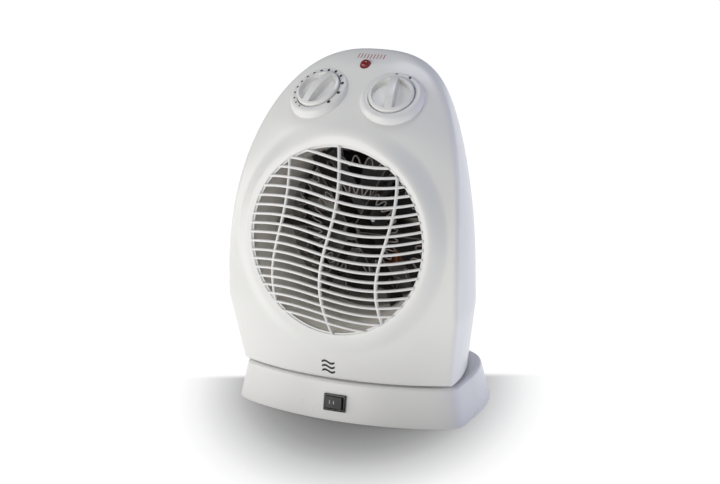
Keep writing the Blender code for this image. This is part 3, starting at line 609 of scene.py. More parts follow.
bm = bmesh.new()
for column in (-1, 0, 1):
    middle = column * RIB_SPACING
    add_bar(bm, lambda z: (rib_place(z, middle), z), bar_section(RIB_HALF, RIB_DEPTH), (1, 0, 0))
grille_ribs = mesh_piece("grille_ribs", bm)

rim_normal = Vector((0, -1, RIM_LEAN)).normalized()
ring_out = rim_radius + 0.0002
for bars in (grille_bars, grille_ribs):
    combine(bars, rod("trim", ring_out, 0.03, -0.02, RIM, rim_normal, 128), 'INTERSECT')
    crease(bars, 40)
ring_in = rim_radius - 0.0014
RING_SINK = 0.0016
RING_BACK = -0.0034
ring_profile = arc(ring_in + 0.0005, -RING_SINK, 0.0005, 180, 90, 4)
ring_profile += [(ring_out, -RING_SINK + 0.0005), (ring_out, RING_BACK), (ring_in, RING_BACK)]
grille_ring = turned("grille_ring", ring_profile, RIM, rim_normal, steps=128, closed=True)
grille_plastic = plastic("heat-proof white plastic", (0.80, 0.80, 0.79), roughness=0.36, ripple=0.08)
finish_piece(grille_bars, grille_plastic, "heater", "white_gloss", "front_grille")
finish_piece(grille_ribs, grille_plastic, "heater", "white_gloss")
finish_piece(grille_ring, grille_plastic, "heater", "white_gloss")


# ---- rear casing ------------------------------------------------------------------------------
# The back half of the casing, moulded in the same white with a lightly textured skin. It tapers
# and rounds into a flat back with a recess for the hand and two columns of intake slots, which
# have a black dust gauze behind them.
back_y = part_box("rear_shell")[1].y
back_depth = back_y - RIM.y
BACK_ROUND = 0.0085
rear_rings = [side_ring(seam_depth + GAP + (back_depth - BACK_ROUND - seam_depth - GAP) * i / 12)
              for i in range(13)]
rear_rings += [side_ring(back_depth - BACK_ROUND * (1 - math.sin(t)), inset=BACK_ROUND * (1 - math.cos(t)))
               for t in (math.radians(a) for a in (18, 36, 54, 72, 90))]
rear_casing = loft("rear_casing", rear_rings, ends=(False, True))
thicken(rear_casing)
apply(rear_casing)


def block(name, size, centre, round_by=0.0, segments=3):
    """A rounded block, made as a mesh of its own with bevelled edges."""
    bm = bmesh.new()
    bmesh.ops.create_cube(bm, size=1)
    bmesh.ops.scale(bm, vec=size, verts=bm.verts)
    if round_by:
        bmesh.ops.bevel(bm, geom=bm.edges, offset=round_by, segments=segments, affect='EDGES', profile=0.5)
    made = mesh_piece(name, bm)
    made.location = centre
    return made


RECESS_Z = 0.088
combine(rear_casing, block("recess_wall", (0.078, 0.0205, 0.031),
                           (0, back_y - 0.0118, RIM.z + RECESS_Z), 0.003), 'UNION')
combine(rear_casing, block("recess_pocket", (0.072, 0.030, 0.025),
                           (0, back_y - 0.0040, RIM.z + RECESS_Z), 0.003))
INTAKE_RADIUS = 0.050
SLOT_PITCH = 0.0100
SLOT_HEIGHT = 0.0036
SLOT_ROUND = 0.0016
MIDDLE_WEB = 0.003           # half the solid strip between the two columns
bm = bmesh.new()
for row in range(-4, 5):
    height = row * SLOT_PITCH
    chord = math.sqrt(INTAKE_RADIUS ** 2 - height ** 2)
    for side in (-1, 1):
        cube = bmesh.ops.create_cube(bm, size=1)["verts"]
        bmesh.ops.scale(bm, vec=(chord - MIDDLE_WEB, 0.012, SLOT_HEIGHT), verts=cube)
        bmesh.ops.translate(bm, vec=(side * (chord + MIDDLE_WEB) / 2, back_y, RIM.z + height), verts=cube)
upright = [edge for edge in bm.edges if abs((edge.verts[0].co - edge.verts[1].co).y) > 0.005]
bmesh.ops.bevel(bm, geom=upright, offset=SLOT_ROUND, segments=4, affect='EDGES', profile=0.5)
combine(rear_casing, mesh_piece("slots", bm))
SCREW_HOLE = 0.0019
bm = bmesh.new()
rear_screws = [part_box("rear_screw_%d" % number) for number in (1, 2, 3, 4)]
for low, high in rear_screws:
    middle = (low + high) / 2
    hole = bmesh.ops.create_cone(bm, cap_ends=True, segments=32, radius1=SCREW_HOLE,
                                 radius2=SCREW_HOLE, depth=0.02)["verts"]
    bmesh.ops.rotate(bm, verts=hole, matrix=Matrix.Rotation(math.pi / 2, 3, 'X'))
    bmesh.ops.translate(bm, verts=hole, vec=(middle.x, back_y, middle.z))
combine(rear_casing, mesh_piece("screw_holes", bm))
crease(rear_casing)
gauze = block("dust_gauze", (0.108, 0.0008, 0.092), (0, back_y - WALL - 0.0012, RIM.z), 0.0003, 1)
filter_gauze = plastic("black filter gauze", (0.020, 0.020, 0.021), roughness=0.7, drift=0.3, ripple=0.6,
                       ripple_size=500.0)
finish_piece(gauze, filter_gauze, "heater", "black_plastic")
rear_plastic = plastic("fine-grained white plastic", (0.79, 0.79, 0.80), roughness=0.33, ripple=0.12,
                       ripple_size=1600.0)
finish_piece(rear_casing, rear_plastic, "heater", "shell_white", "rear_shell")


# ---- control pads and their printed scales ----------------------------------------------------
# Each control has a round pad with a rolled rim, moulded a touch brighter than the face. The left
# one carries a printed ring of dots that grow with the heat, the right one two position marks.
pad_plastic = plastic("bright white plastic", (0.77, 0.77, 0.765), roughness=0.30, drift=0.02)
ink = plastic("printing ink", (0.025, 0.025, 0.03), roughness=0.55, drift=0.1, ripple=0.0)
grey_ink = plastic("grey printing ink", (0.22, 0.22, 0.23), roughness=0.55, drift=0.1, ripple=0.0)
PAD_RADIUS = 0.0285
PAD_TOP_RADIUS = 0.0245
PAD_FOOT = -0.0110
SHOULDER = 0.0045
WELL_RADIUS = 0.0207
WELL_DEPTH = 0.0036
SPINDLE_HOLE = 0.0042
pad_profile = [(0, -WELL_DEPTH), (WELL_RADIUS, -WELL_DEPTH), (WELL_RADIUS, -0.0006)]
pad_profile += arc(WELL_RADIUS + 0.0006, -0.0006, 0.0006, 180, 90, 3)
for step in range(9):
    t = step / 8
    pad_profile.append((PAD_TOP_RADIUS - 0.0016 + (PAD_RADIUS - PAD_TOP_RADIUS + 0.0016) * t ** 0.8,
                        -SHOULDER * t ** 1.9))
pad_profile += [(PAD_RADIUS, PAD_FOOT), (0, PAD_FOOT)]
for side, label in ((-1, "thermostat_pad"), (1, "selector_pad")):
    seat, normal = dial_axes[side]
    pad = turned(label, pad_profile, seat, normal, steps=96)
    combine(pad, rod("spindle_hole", SPINDLE_HOLE, 0.01, -0.03, seat, normal))
    crease(pad, 40)
    finish_piece(pad, pad_plastic, "heater", "white_gloss")


def pad_frame(side):
    """The plane of a pad: x to the right, y up the panel, z out of the pad."""
    seat, normal = dial_axes[side]
    across = Vector((0, 0, 1)).cross(normal).normalized()
    return Matrix.Translation(seat) @ Matrix((across, normal.cross(across), normal)).transposed().to_4x4()


PRINT = 0.00012               # ink stands this far out of the pad


def printed_dots(name, dots, ring, side, material):
    """Flat ink dots on a circle, given as (clock angle in degrees, radius)."""
    bm = bmesh.new()
    for clock, radius in dots:
        angle = math.radians(clock)
        disc = bmesh.ops.create_cone(bm, cap_ends=True, segments=28, radius1=radius, radius2=radius,
                                     depth=PRINT)["verts"]
        bmesh.ops.translate(bm, verts=disc, vec=(ring * math.sin(angle), ring * math.cos(angle), PRINT / 2))
    made = mesh_piece(name, bm)
    made.matrix_world = pad_frame(side)
    finish_piece(made, material, "heater", "black_plastic")


scale = [(-160 + 17 * i + 1.25 * max(0, i - 8) ** 2, 0.00075 + 0.00006 * i) for i in range(15)]
printed_dots("heat_scale", scale, 0.0226, -1, ink)
printed_dots("selector_low_mark", [(1, 0.0010)], 0.0236, 1, grey_ink)
printed_dots("selector_high_mark", [(33, 0.0012)], 0.0236, 1, ink)


# ---- knobs ------------------------------------------------------------------------------------
# Each knob is a white disc sunk in its pad, with a thin raised rim. Two scooped pockets leave a
# grip bar standing right across it.
knob_plastic = plastic("knob plastic", (0.80, 0.80, 0.785), roughness=0.24, drift=0.03, coat=0.15)
KNOB_RADIUS = 0.0199
KNOB_RIM = 0.0022
KNOB_FOOT = -0.0030
GRIP_TOP = 0.0056
GRIP_HALF = 0.0034
POCKET_FLOOR = -0.0012
knob_profile = [(0, GRIP_TOP)]
for step in range(1, 13):
    t = step / 12
    knob_profile.append(((KNOB_RADIUS - 0.0006) * t, KNOB_RIM + (GRIP_TOP - KNOB_RIM) * (1 - t ** 2.2)))
knob_profile += arc(KNOB_RADIUS - 0.0008, KNOB_RIM - 0.0008, 0.0008, 70, 0, 4)
knob_profile += [(KNOB_RADIUS, KNOB_FOOT), (0, KNOB_FOOT)]


def scoop(side, way, grip_turn):
    """The tool that hollows one side of a knob: a round pocket with a flat flank by the grip."""
    bm = bmesh.new()
    floor_radius = KNOB_RADIUS - 0.0026
    rows = []
    for step in range(9):
        t = step / 8
        height = POCKET_FLOOR + (GRIP_TOP + 0.004 - POCKET_FLOOR) * t
        grow = 0.0014 * min(1.0, t * 3) ** 0.5
        radius = floor_radius - 0.0014 + grow
        flank = GRIP_HALF + 0.0016 * (1 - min(1.0, t * 2.2)) ** 2
        limit = math.acos(flank / radius)
        ring = []
        for i in range(25):
            swing = limit * (1 - 2 * i / 24)
            ring.append(bm.verts.new((way * radius * math.cos(swing), radius * math.sin(swing), height)))
        rows.append(ring)
    skin_rows(bm, rows)
    made = mesh_piece("scoop", bm)
    made.matrix_world = pad_frame(side) @ Matrix.Rotation(grip_turn, 4, 'Z')
    return made


def knob(name, side, grip_turn, body, cad_node):
    seat, normal = dial_axes[side]
    disc = turned(name, knob_profile, seat, normal, steps=96)
    for way in (-1, 1):
        combine(disc, scoop(side, way, grip_turn))
    crease(disc, 50)
    edge = disc.modifiers.new("softened edges", 'BEVEL')
    edge.width = 0.0005
    edge.segments = 3
    edge.limit_method = 'ANGLE'
    edge.angle_limit = math.radians(40)
    apply(disc, 60)
    finish_piece(disc, knob_plastic, body, "knob_white", cad_node)


knob("thermostat_dial", -1, math.radians(-10), "thermostat_dial", "thermostat_knob")
knob("selector_dial", 1, 0.0, "selector_dial", "selector_switch_knob")


# ---- spindles ---------------------------------------------------------------------------------
# Plain turned steel spindles carry the knobs, bright from the lathe with fine rings round them.
# Their material, and the bare metal of every other fitting, comes from one brushed-metal group.
brushed, enters, leaves = group(
    "worked metal",
    [("Colour", 'NodeSocketColor', (1, 1, 1, 1)), ("Stain", 'NodeSocketColor', (0.3, 0.3, 0.3, 1)),
     ("Stain amount", 'NodeSocketFloat', 0.3), ("Stain size", 'NodeSocketFloat', 60.0),
     ("Rough", 'NodeSocketFloat', 0.3), ("Stretch", 'NodeSocketVector', (1.0, 1.0, 1.0)),
     ("Scratch", 'NodeSocketFloat', 0.1)],
    [("Colour", 'NodeSocketColor'), ("Roughness", 'NodeSocketFloat'), ("Normal", 'NodeSocketVector')])
place = node(brushed, "ShaderNodeTexCoord").outputs["Object"]
cloud = node(brushed, "ShaderNodeTexNoise", Vector=place, Scale=enters.outputs["Stain size"], Detail=4.0)
spread = node(brushed, "ShaderNodeMapRange", Value=cloud.outputs["Fac"])
spread.inputs["From Min"].default_value = 0.35
spread.inputs["From Max"].default_value = 0.7
amount = maths(brushed, 'MULTIPLY', spread.outputs["Result"], enters.outputs["Stain amount"])
tint = blend(brushed, amount, enters.outputs["Colour"], enters.outputs["Stain"])
brushed.links.new(tint, leaves.inputs["Colour"])
stretched = maths(brushed, 'MULTIPLY', place, enters.outputs["Stretch"], kind="ShaderNodeVectorMath")
lines = node(brushed, "ShaderNodeTexNoise", Vector=stretched, Scale=1.0, Detail=2.0)
worn = maths(brushed, 'MULTIPLY_ADD', lines.outputs["Fac"], 0.18, enters.outputs["Rough"])
brushed.links.new(worn, leaves.inputs["Roughness"])
score = node(brushed, "ShaderNodeBump", Height=lines.outputs["Fac"], Distance=0.0001,
             Strength=enters.outputs["Scratch"])
brushed.links.new(score.outputs["Normal"], leaves.inputs["Normal"])


def metal(name, colour, roughness, stain=(0.3, 0.3, 0.3), stain_amount=0.3, stain_size=60.0,
          stretch=(400.0, 400.0, 4000.0), scratch=0.25, metallic=1.0):
    """A metal finish that uses the shared worked-metal group."""
    made, shader = finish(name, brushed, Colour=(*colour, 1), Stain=(*stain, 1), Stain_amount=stain_amount,
                          Stain_size=stain_size, Rough=roughness, Stretch=stretch, Scratch=scratch)
    shader.inputs["Metallic"].default_value = metallic
    return made


def repaint(material, *nodes):
    """Gives CAD nodes that stay as they are a finish of their own."""
    for name in nodes:
        mesh = frame["nodes"][name].data
        mesh.materials.clear()
        mesh.materials.append(material)


bright_steel = metal("turned steel", (0.62, 0.62, 0.62), 0.20, stain_amount=0.15)
repaint(bright_steel, "thermostat_spindle", "selector_switch_spindle")


# ---- control bodies under the panel -----------------------------------------------------------
# The thermostat and the selector are bought-in switches in cream nylon cans behind the panel.
# They clip under the pads and only their spindles come through.
cream_nylon = plastic("cream nylon", (0.62, 0.58, 0.48), roughness=0.42, drift=0.2, ripple=0.12,
                      ripple_size=700.0)
repaint(cream_nylon, "thermostat", "selector_switch")


# ---- pilot lamp -------------------------------------------------------------------------------
# A clear red domed lens with a stepped flange snaps into the panel over a small neon bulb. The
# deep colour comes from the dyed plastic, so it is glossy and a little see-through.
red_lens = plastic("dyed red lens", (0.30, 0.012, 0.018), roughness=0.08, drift=0.25, ripple=0.02, coat=0.6)
red_lens.node_tree.nodes["Principled BSDF"].inputs["Transmission Weight"].default_value = 0.25
lens_profile = [(0, 0.0029), (0.0010, 0.00282), (0.0020, 0.0025), (0.0028, 0.0019), (0.0032, 0.0013),
                (0.0036, 0.0012), (0.0042, 0.0011), (0.0045, 0.0007), (0.0046, 0.0002), (0.0046, -0.0078),
                (0, -0.0078)]
finish_piece(turned("pilot_lens", lens_profile, lamp_seat, lamp_normal, steps=48), red_lens, "heater",
             "red_lens", "lamp_lens")
neon_glass = plastic("neon bulb glass", (0.75, 0.62, 0.50), roughness=0.10, drift=0.1, ripple=0.0, coat=0.5)
repaint(neon_glass, "lamp_bulb")


# ---- printed marks on the face ----------------------------------------------------------------
# Two plain printed marks: a row of rising heat waves in red over the lamp, and three wavy lines in
# black low on the face. Both are thin layers of ink laid on the casing.
def wave_print(name, middle, size, strokes, pitch, thick, vertical, material):
    """A pictogram of parallel wavy strokes that lie on the face round a middle point."""
    bm = bmesh.new()
    for stroke in range(strokes):
        aside = (stroke - (strokes - 1) / 2) * pitch
        rows = []
        for step in range(21):
            along = (step / 20 - 0.5) * size
            sway = aside + 0.09 * size * math.sin(math.tau * step / 20)
            row = []
            for edge in (-1, 1):
                x, z = (sway + edge * thick, along) if vertical else (along, sway + edge * thick)
                x += middle[0]
                z += middle[1]
                row.append(in_casing(x, face_depth(x, z) - PRINT, z))
            rows.append([bm.verts.new(point) for point in row])
        for near, far in zip(rows, rows[1:]):
            bm.faces.new((near[0], near[1], far[1], far[0]))
    made = mesh_piece(name, bm)
    skin = made.modifiers.new("ink", 'SOLIDIFY')
    skin.thickness = PRINT
    skin.offset = 0
    apply(made)
    finish_piece(made, material, "heater", "black_plastic")


red_ink = plastic("red printing ink", (0.42, 0.035, 0.045), roughness=0.5, drift=0.1, ripple=0.0)
wave_print("heat_mark", (0.0010, 0.1466), 0.0026, 9, 0.0030, 0.00030, True, red_ink)
wave_print("air_mark", (-0.0055, -0.1120), 0.0125, 3, 0.0042, 0.00095, False, ink)


# ---- base -------------------------------------------------------------------------------------
# A broad flared foot, moulded in the same glossy white: bowed front, soft front corners, sides
# that narrow to a rounded back, and a top edge rolled over with a small radius.
base_low, base_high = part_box("base_shell")
BASE_RIM = base_low.z
BASE_HEIGHT = base_high.z
BASE_FLARE = (0.931, 0.895)
BASE_FRONT = -base_low.y
BASE_BACK = base_high.y
BASE_HALF = base_high.x
FRONT_BOW = 0.0220
BASE_TAPER = 0.0190
BASE_STEPS = 240
FRONT_POWER = 12             # how square the corners are, in front and at the back
BACK_POWER = 5.5
NARROWING_POWER = 1.7


def base_outline(share_x=1.0, share_y=1.0, inset=0.0):
    points = []
    for step in range(BASE_STEPS):
        angle = math.tau * step / BASE_STEPS
        aside = math.sin(angle)
        ahead = math.cos(angle)
        power = FRONT_POWER if ahead > 0 else BACK_POWER
        reach = (abs(aside) ** power + abs(ahead) ** power) ** (-1 / power)
        across = aside * reach
        if ahead > 0:
            x = (BASE_HALF - inset) * across
            y = -(BASE_FRONT - FRONT_BOW) * ahead * reach - FRONT_BOW * (1 - across ** 2) + inset * ahead
        else:
            x = (BASE_HALF - BASE_TAPER * (-ahead * reach) ** NARROWING_POWER - inset) * across
            y = -(BASE_BACK - inset) * ahead * reach
        points.append((x * share_x, y * share_y))
    return points


def base_ring(z, inset=0.0):
    rise = max(0.0, z - BASE_RIM) / (BASE_HEIGHT - BASE_RIM)
    share_x = 1 + (BASE_FLARE[0] - 1) * rise
    share_y = 1 + (BASE_FLARE[1] - 1) * rise
    return [Vector((x, y, z)) for x, y in base_outline(share_x, share_y, inset)]


TOP_ROUND = 0.0030
FOOT_ROUND = 0.0006
base_rings = [base_ring(BASE_RIM, FOOT_ROUND), base_ring(BASE_RIM + FOOT_ROUND)]
base_rings += [base_ring(BASE_RIM + FOOT_ROUND + (BASE_HEIGHT - TOP_ROUND - BASE_RIM - FOOT_ROUND) * i / 6)
               for i in range(1, 7)]
base_rings += [base_ring(BASE_HEIGHT - TOP_ROUND * (1 - math.sin(t)), TOP_ROUND * (1 - math.cos(t)))
               for t in (math.radians(a) for a in (15, 30, 45, 60, 75, 90))]
base_moulding = loft("base_moulding", base_rings, ends=(True, True))
combine(base_moulding, loft("hollow", [base_ring(0.0, WALL), base_ring(BASE_RIM, WALL),
                                       base_ring(BASE_HEIGHT - 0.0040, WALL),
                                       base_ring(BASE_HEIGHT - WALL, WALL + 0.0016)], ends=(True, True)))


crank_axis = Vector(joint["crank_spin"]["pos_m"])
PIVOT_RADIUS = 0.0120
PLATE_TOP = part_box("base_plate")[1].z
base_screws = [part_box("base_screw_%d" % number) for number in (1, 2, 3, 4)]
UPRIGHT = (0, 0, 1)
for low, high in base_screws:
    seat = ((low.x + high.x) / 2, (low.y + high.y) / 2, 0)
    post = rod("post", 0.0042, BASE_HEIGHT - 0.001, PLATE_TOP + GAP, seat, UPRIGHT)
    combine(base_moulding, post, 'UNION')
    combine(base_moulding, rod("hole", 0.0017, 0.018, -0.01, seat, UPRIGHT, 24))
combine(base_moulding, rod("boss", 0.0160, BASE_HEIGHT - 0.001, 0.0230, (0, 0, 0), UPRIGHT, 64), 'UNION')
combine(base_moulding, rod("bearing", PIVOT_RADIUS + 0.0005, 0.0400, 0.0150, (0, 0, 0), UPRIGHT, 64))
combine(base_moulding, rod("crank_opening", 0.0215, 0.0400, 0.0250, (0, crank_axis.y, 0), UPRIGHT, 64))

SWITCH_TILT = math.atan((1 - BASE_FLARE[1]) * BASE_FRONT / (BASE_HEIGHT - BASE_RIM))
SWITCH_Z = 0.0177
switch_seat = Vector((0, -BASE_FRONT + (SWITCH_Z - BASE_RIM) * math.tan(SWITCH_TILT), SWITCH_Z))
switch_frame = Matrix.Translation(switch_seat) @ Matrix.Rotation(math.pi / 2 - SWITCH_TILT, 4, 'X')


def in_switch(piece):
    """Lays a piece made flat, with its face up, against the front wall of the base."""
    piece.matrix_world = switch_frame @ Matrix.Translation(piece.location)
    return piece


combine(base_moulding, in_switch(block("switch_cutout", (0.0192, 0.0132, 0.0200), (0, 0, 0))))
GLAND_Z = 0.0177
gland_y = BASE_BACK * (1 - (1 - BASE_FLARE[1]) * (GLAND_Z - BASE_RIM) / (BASE_HEIGHT - BASE_RIM))
combine(base_moulding, rod("gland_hole", 0.0051, 0.01, -0.01, (0, gland_y, GLAND_Z), (0, 1, 0)))
crease(base_moulding)
even = base_moulding.modifiers.new("even shading", 'WEIGHTED_NORMAL')
even.keep_sharp = True
apply(base_moulding)
base_plastic = plastic("white base plastic", (0.80, 0.80, 0.79), roughness=0.25)
finish_piece(base_moulding, base_plastic, "base", "white_gloss", "base_shell")


# ---- bottom plate, screws and feet ------------------------------------------------------------
# A flat matt plate closes the base from below, held by four countersunk cross-head screws that
# go up into the posts. Four rubber feet with softened edges are glued to it.
underside_plastic = plastic("matt white plastic", (0.72, 0.72, 0.73), roughness=0.45, ripple=0.2,
                            ripple_size=1500.0)
repaint(underside_plastic, "base_plate")


def cross_screw(name, place, axis, radius, head, reach, body, slot, material, cad_node):
    """A pan-head screw with a cross recess; head up along the axis from its seat."""
    shank = 0.0014
    tip = 0.0006
    profile = [(0, head)]
    profile += [(radius * math.sin(t), head * (0.45 + 0.55 * math.cos(t)))
                for t in (math.radians(a) for a in (20, 40, 60, 80))]
    profile += [(radius, 0), (shank, 0), (shank, -reach), (tip, -reach - 0.0010), (0, -reach - 0.0010)]
    screw = turned(name, profile, place, axis, steps=32)
    turn_to = screw.matrix_world.copy()
    for turn in (0, math.pi / 2):
        blade = block("blade", (radius * 1.25, 0.0006, head * 1.4), (0, 0, 0), 0.0001, 1)
        blade.matrix_world = (turn_to @ Matrix.Translation((0, 0, head))
                              @ Matrix.Rotation(turn + 0.4, 4, 'Z'))
        combine(screw, blade)
    finish_piece(screw, material, body, slot, cad_node)


zinc_screw = metal("zinc-plated screw", (0.60, 0.60, 0.58), 0.26, stain=(0.38, 0.36, 0.30),
                   stain_amount=0.4)
for number, (low, high) in enumerate(base_screws, 1):
    middle = (low + high) / 2
    cross_screw("base_fixing_%d" % number, (middle.x, middle.y, low.z + 0.0010), (0, 0, -1),
                0.0029, 0.0010, 0.0085, "base", "steel", zinc_screw, "base_screw_%d" % number)
for number, (low, high) in enumerate(rear_screws, 1):
    middle = (low + high) / 2
    cross_screw("rear_fixing_%d" % number, (middle.x, high.y - 0.0018, middle.z), (0, 1, 0),
                0.0032, 0.0018, 0.0440, "heater", "steel", zinc_screw, "rear_screw_%d" % number)
foot_rubber = plastic("foot rubber", (0.025, 0.025, 0.026), roughness=0.75, drift=0.3, ripple=0.5,
                      ripple_size=2500.0)
for number in (1, 2, 3, 4):
    low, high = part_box("foot_%d" % number)
    middle = (low + high) / 2
    radius = (high.x - low.x) / 2
    foot_profile = [(0, high.z), (radius - 0.0003, high.z), (radius, high.z - 0.0003), (radius, 0.0005)]
    foot_profile += arc(radius - 0.0005, 0.0005, 0.0005, 0, -90, 4)
    foot_profile += [(radius * 0.55, 0), (radius * 0.5, 0.0004), (0, 0.0004)]
    foot = turned("rubber_foot_%d" % number, foot_profile, (middle.x, middle.y, 0), (0, 0, 1), steps=48)
    finish_piece(foot, foot_rubber, "base", "rubber", "foot_%d" % number)


# ---- rocker switch ----------------------------------------------------------------------------
# A black rocker tips in a black bezel that is pressed into the front wall of the base. Two pale
# printed strokes mark it.
bezel_plastic = plastic("black bezel plastic", (0.017, 0.017, 0.019), roughness=0.30, drift=0.2)
bezel = in_switch(block("switch_bezel", (0.0210, 0.0150, 0.0016), (0, 0, 0.0011), 0.0006))
apply(bezel)
combine(bezel, in_switch(block("can", (0.0186, 0.0126, 0.0150), (0, 0, -0.0065))), 'UNION')
combine(bezel, in_switch(block("well", (0.0176, 0.0116, 0.0150), (0, 0, -0.0045), 0.0008)))
bezel.data.set_sharp_from_angle(angle=math.radians(40))
finish_piece(bezel, bezel_plastic, "base", "black_plastic", "switch_housing")

ROCKER_REST = math.radians(8)
ROCKER_ARM = 0.0083
ROCKER_HALF = 0.0055
ROCKER_PIVOT = 0.0006
ROCKER_FACE = 0.0014         # the face's middle stands this far over the pivot
ROCKER_RISE = 0.0012         # and its two ends this much further
ROCKER_HOLLOW = 1.4
rocker_place = (switch_frame @ Matrix.Translation((0, 0, ROCKER_PIVOT))
                @ Matrix.Rotation(math.pi / 2, 4, 'X') @ Matrix.Rotation(ROCKER_REST, 4, 'Z'))
rocker_outline = [(ROCKER_ARM * math.cos(a), ROCKER_ARM * math.sin(a))
                  for a in (math.pi + math.pi * i / 32 for i in range(33))]
rocker_outline += [(ROCKER_ARM * share, ROCKER_FACE + ROCKER_RISE * abs(share) ** ROCKER_HOLLOW)
                   for share in (1.0, 0.85, 0.7, 0.55, 0.4, 0.25, 0.1,
                                 -0.1, -0.25, -0.4, -0.55, -0.7, -0.85, -1.0)]
rocker_rings = []
for depth, inset in ((-ROCKER_HALF, 0.0004), (0.0004 - ROCKER_HALF, 0.0), (ROCKER_HALF - 0.0004, 0.0),
                     (ROCKER_HALF, 0.0004)):
    rocker_rings.append([rocker_place @ Vector((x * (1 - inset / ROCKER_ARM), y - inset * (y > 0), depth))
                         for x, y in rocker_outline])
rocker_key = loft("rocker_key", rocker_rings, ends=(True, True), sharp=30)
rocker_plastic = plastic("black rocker plastic", (0.013, 0.013, 0.015), roughness=0.38, drift=0.2)
finish_piece(rocker_key, rocker_plastic, "switch_rocker", "black_plastic", "rocker")
pale_ink = plastic("pale printing ink", (0.55, 0.56, 0.58), roughness=0.5, drift=0.1, ripple=0.0)
for number, aside in enumerate((-0.0044, -0.0004), 1):
    lift = ROCKER_FACE + ROCKER_RISE * (abs(aside) / ROCKER_ARM) ** ROCKER_HOLLOW
    stroke = block("rocker_mark_%d" % number, (0.0008, PRINT * 2, 0.0030), (0, 0, 0), 0.00005, 1)
    lean = math.atan(ROCKER_RISE * ROCKER_HOLLOW / ROCKER_ARM * (abs(aside) / ROCKER_ARM) ** 0.4)
    stroke.matrix_world = (rocker_place @ Matrix.Translation((aside, lift, 0))
                           @ Matrix.Rotation(-lean, 4, 'Z'))
    finish_piece(stroke, pale_ink, "switch_rocker", "black_plastic")


# ---- cord gland -------------------------------------------------------------------------------
# A black nylon gland with a flange and a short tapered nose, clipped into the back wall of the
# base. The mains lead itself isn't part of this object.
gland_plastic = plastic("black gland plastic", (0.020, 0.020, 0.021), roughness=0.42, drift=0.2,
                        ripple=0.15)
gland_profile = [(0.0043, 0.0061), (0.0045, 0.0059), (0.0051, 0.0048), (0.0049, 0.0046), (0.0054, 0.0040),
                 (0.0062, 0.0036), (0.0066, 0.0032), (0.0066, 0.0026), (0.0064, 0.0024),
                 (0.0048, 0.0024), (0.0048, -0.0058), (0.0034, -0.0058), (0.0034, 0.0059), (0.0036, 0.0061)]
finish_piece(turned("gland", gland_profile, (0, gland_y, GLAND_Z), (0, 1, 0), steps=48, closed=True),
             gland_plastic, "base", "black_plastic", "cord_gland")


# ---- air duct and chassis ---------------------------------------------------------------------
# A rolled galvanised duct carries the air past the heater wires, its mouth flared out to the
# grille ring and its inside stained a warm grey-brown by heat. It stands on a moulded plate that
# fills the casing from side to side.
galvanised = metal("heat-stained galvanised steel", (0.80, 0.77, 0.72), 0.50, stain=(0.62, 0.57, 0.52),
                   stain_amount=0.7, stain_size=35.0, stretch=(900.0, 60.0, 900.0), scratch=0.15,
                   metallic=0.0)
DUCT_START = 0.0110
DUCT_RADIUS = (duct_high.x - duct_low.x) / 2
DUCT_BACK = duct_high.y - RIM.y
DUCT_WALL = 0.0008
FLARE = 0.0056               # the mouth opens out by this much to meet the grille ring
FLARE_START = -0.0073
FLARE_LENGTH = 0.030
duct_rings = []
for inner in (False, True):
    steps = [(FLARE_START + FLARE_LENGTH * i / 8, -FLARE * (1 - i / 8) ** 1.6) for i in range(9)]
    steps += [(0.05, 0.0), (0.0515, 0.0008), (0.053, 0.0), (1.0, 0.0)]
    for along, bead in (reversed(steps) if inner else steps):
        radius = DUCT_RADIUS - bead - (DUCT_WALL if inner else 0.0)
        ring = []
        for step in range(128):
            angle = math.tau * step / 128
            z = radius * math.cos(angle)
            front = DUCT_START + RIM_LEAN * z
            depth = DUCT_BACK if along == 1.0 else front + along
            ring.append(in_casing(radius * math.sin(angle), depth, z))
        duct_rings.append(ring)
duct_tube = loft("duct_tube", duct_rings + duct_rings[:1])
bm = bmesh.new()
bm.from_mesh(duct_tube.data)
bmesh.ops.remove_doubles(bm, verts=bm.verts, dist=0.000001)
bmesh.ops.recalc_face_normals(bm, faces=bm.faces)
bm.to_mesh(duct_tube.data)
bm.free()
finish_piece(duct_tube, galvanised, "heater", "zinc_steel", "air_duct")
repaint(plastic("black chassis nylon", (0.030, 0.029, 0.028), roughness=0.5, drift=0.2, ripple=0.2),
        "chassis")


# ---- mica cross and heater wires --------------------------------------------------------------
# Three crossed mica cards on a hub hold rings of zigzag resistance wire. The wire has gone dull
# and dark from heat, with a faint blue-brown bloom.
mica = plastic("layered mica", (0.05, 0.044, 0.039), roughness=0.35, drift=0.8, ripple=0.3,
               ripple_size=500.0)
repaint(mica, "element_frame")
oxidised_wire = metal("oxidised heater wire", (0.27, 0.245, 0.23), 0.32, stain=(0.12, 0.10, 0.11),
                      stain_amount=0.8, stain_size=120.0, stretch=(300.0, 300.0, 300.0), scratch=0.1)
coil_depths = {"heating_coil_inner": 0.0370, "heating_coil_outer": 0.0590}
FOLDS = 54
FOLD_REACH = 0.0045          # the zigzag swings this far to each side of its ring
FOLD_POWER = 0.75
FIRST_FOLD = 12              # degrees from the bottom of the ring
WIRE_RADIUS = 0.000946
WIRE_SIDES = 10


def wire_tube(name, path, radius):
    """A round wire swept along points, with flat ends."""
    bm = bmesh.new()
    rows = []
    for i, point in enumerate(path):
        ahead = (path[min(i + 1, len(path) - 1)] - path[max(i - 1, 0)]).normalized()
        aside = ahead.cross(Vector((0, 1, 0))).normalized()
        over = aside.cross(ahead)
        rows.append([bm.verts.new(point + (aside * math.cos(a) + over * math.sin(a)) * radius)
                     for a in (math.tau * s / WIRE_SIDES for s in range(WIRE_SIDES))])
    skin_rows(bm, rows)
    return mesh_piece(name, bm, 60)


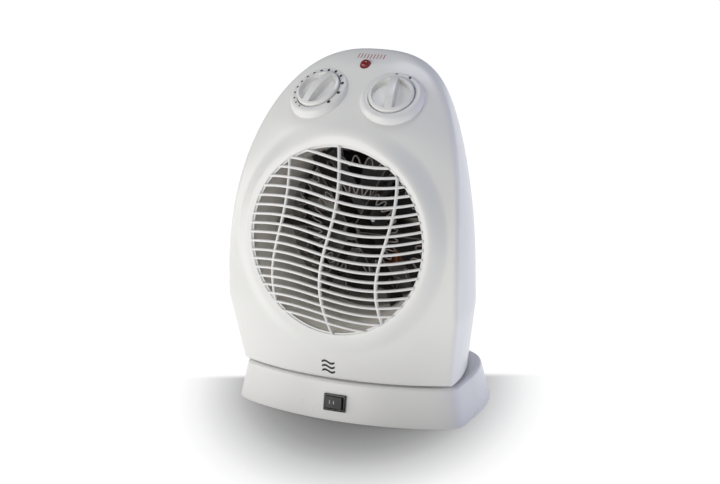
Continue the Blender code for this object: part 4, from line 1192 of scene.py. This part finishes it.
for name, radius in coil_depths.items():
    low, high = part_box(name)
    depth = (low.y + high.y) / 2 - RIM.y
    turns = (FOLDS - 1) / 2
    count = FOLDS * 10
    path = []
    for i in range(count + 1):
        share = i / count
        angle = math.radians(FIRST_FOLD + (360 - 2 * FIRST_FOLD) * share)
        swing = math.sin(math.tau * turns * share - math.pi / 2)
        reach = radius + FOLD_REACH * math.copysign(abs(swing) ** FOLD_POWER, swing)
        path.append(in_casing(reach * math.sin(angle), depth, -reach * math.cos(angle)))
    finish_piece(wire_tube(name + "_wire", path, WIRE_RADIUS), oxidised_wire, "heater", "heater_wire", name)
repaint(plastic("black phenolic", (0.03, 0.027, 0.025), roughness=0.35, drift=0.3), "thermal_cutout")


# ---- fan and motor ----------------------------------------------------------------------------
# A six-blade black nylon fan on a shaded-pole motor: stacked steel laminations, a coil of copper
# wire under varnish, and two pressed bearing brackets on a strip across the duct.
fan_nylon = plastic("black fan nylon", (0.022, 0.022, 0.023), roughness=0.38, drift=0.2, ripple=0.1)
repaint(fan_nylon, "fan_impeller")
laminated = metal("stacked laminations", (0.36, 0.35, 0.34), 0.36, stain=(0.16, 0.11, 0.08),
                  stain_amount=0.5, stain_size=90.0, stretch=(20.0, 2400.0, 20.0), scratch=0.7)
repaint(laminated, "motor_stator")
copper_coil = metal("varnished copper wire", (0.55, 0.22, 0.09), 0.24, stain=(0.30, 0.09, 0.04),
                    stain_amount=0.5, stretch=(1800.0, 30.0, 30.0), scratch=0.9)
repaint(copper_coil, "motor_coil")
repaint(bright_steel, "motor_shaft", "pivot_clip")
pressed_zinc = metal("pressed zinc-plated steel", (0.55, 0.54, 0.50), 0.30, stain=(0.40, 0.36, 0.26),
                     stain_amount=0.5, stain_size=45.0, stretch=(120.0, 120.0, 900.0))
repaint(pressed_zinc, "motor_front_bracket", "motor_rear_bracket", "motor_mount", "drive_arm")


# ---- swing drive ------------------------------------------------------------------------------
# The casing turns on a hollow nylon tube. A small geared motor in a zinc can turns a nylon crank,
# whose pin slides in the slotted arm and swings the casing from side to side.
natural_nylon = plastic("natural nylon", (0.66, 0.64, 0.56), roughness=0.40, drift=0.15, ripple=0.1)
repaint(natural_nylon, "pivot_tube", "swing_crank")
repaint(metal("gear motor can", (0.50, 0.49, 0.46), 0.34, stain=(0.35, 0.31, 0.22), stain_amount=0.4,
              stretch=(200.0, 200.0, 1500.0)), "swing_motor")
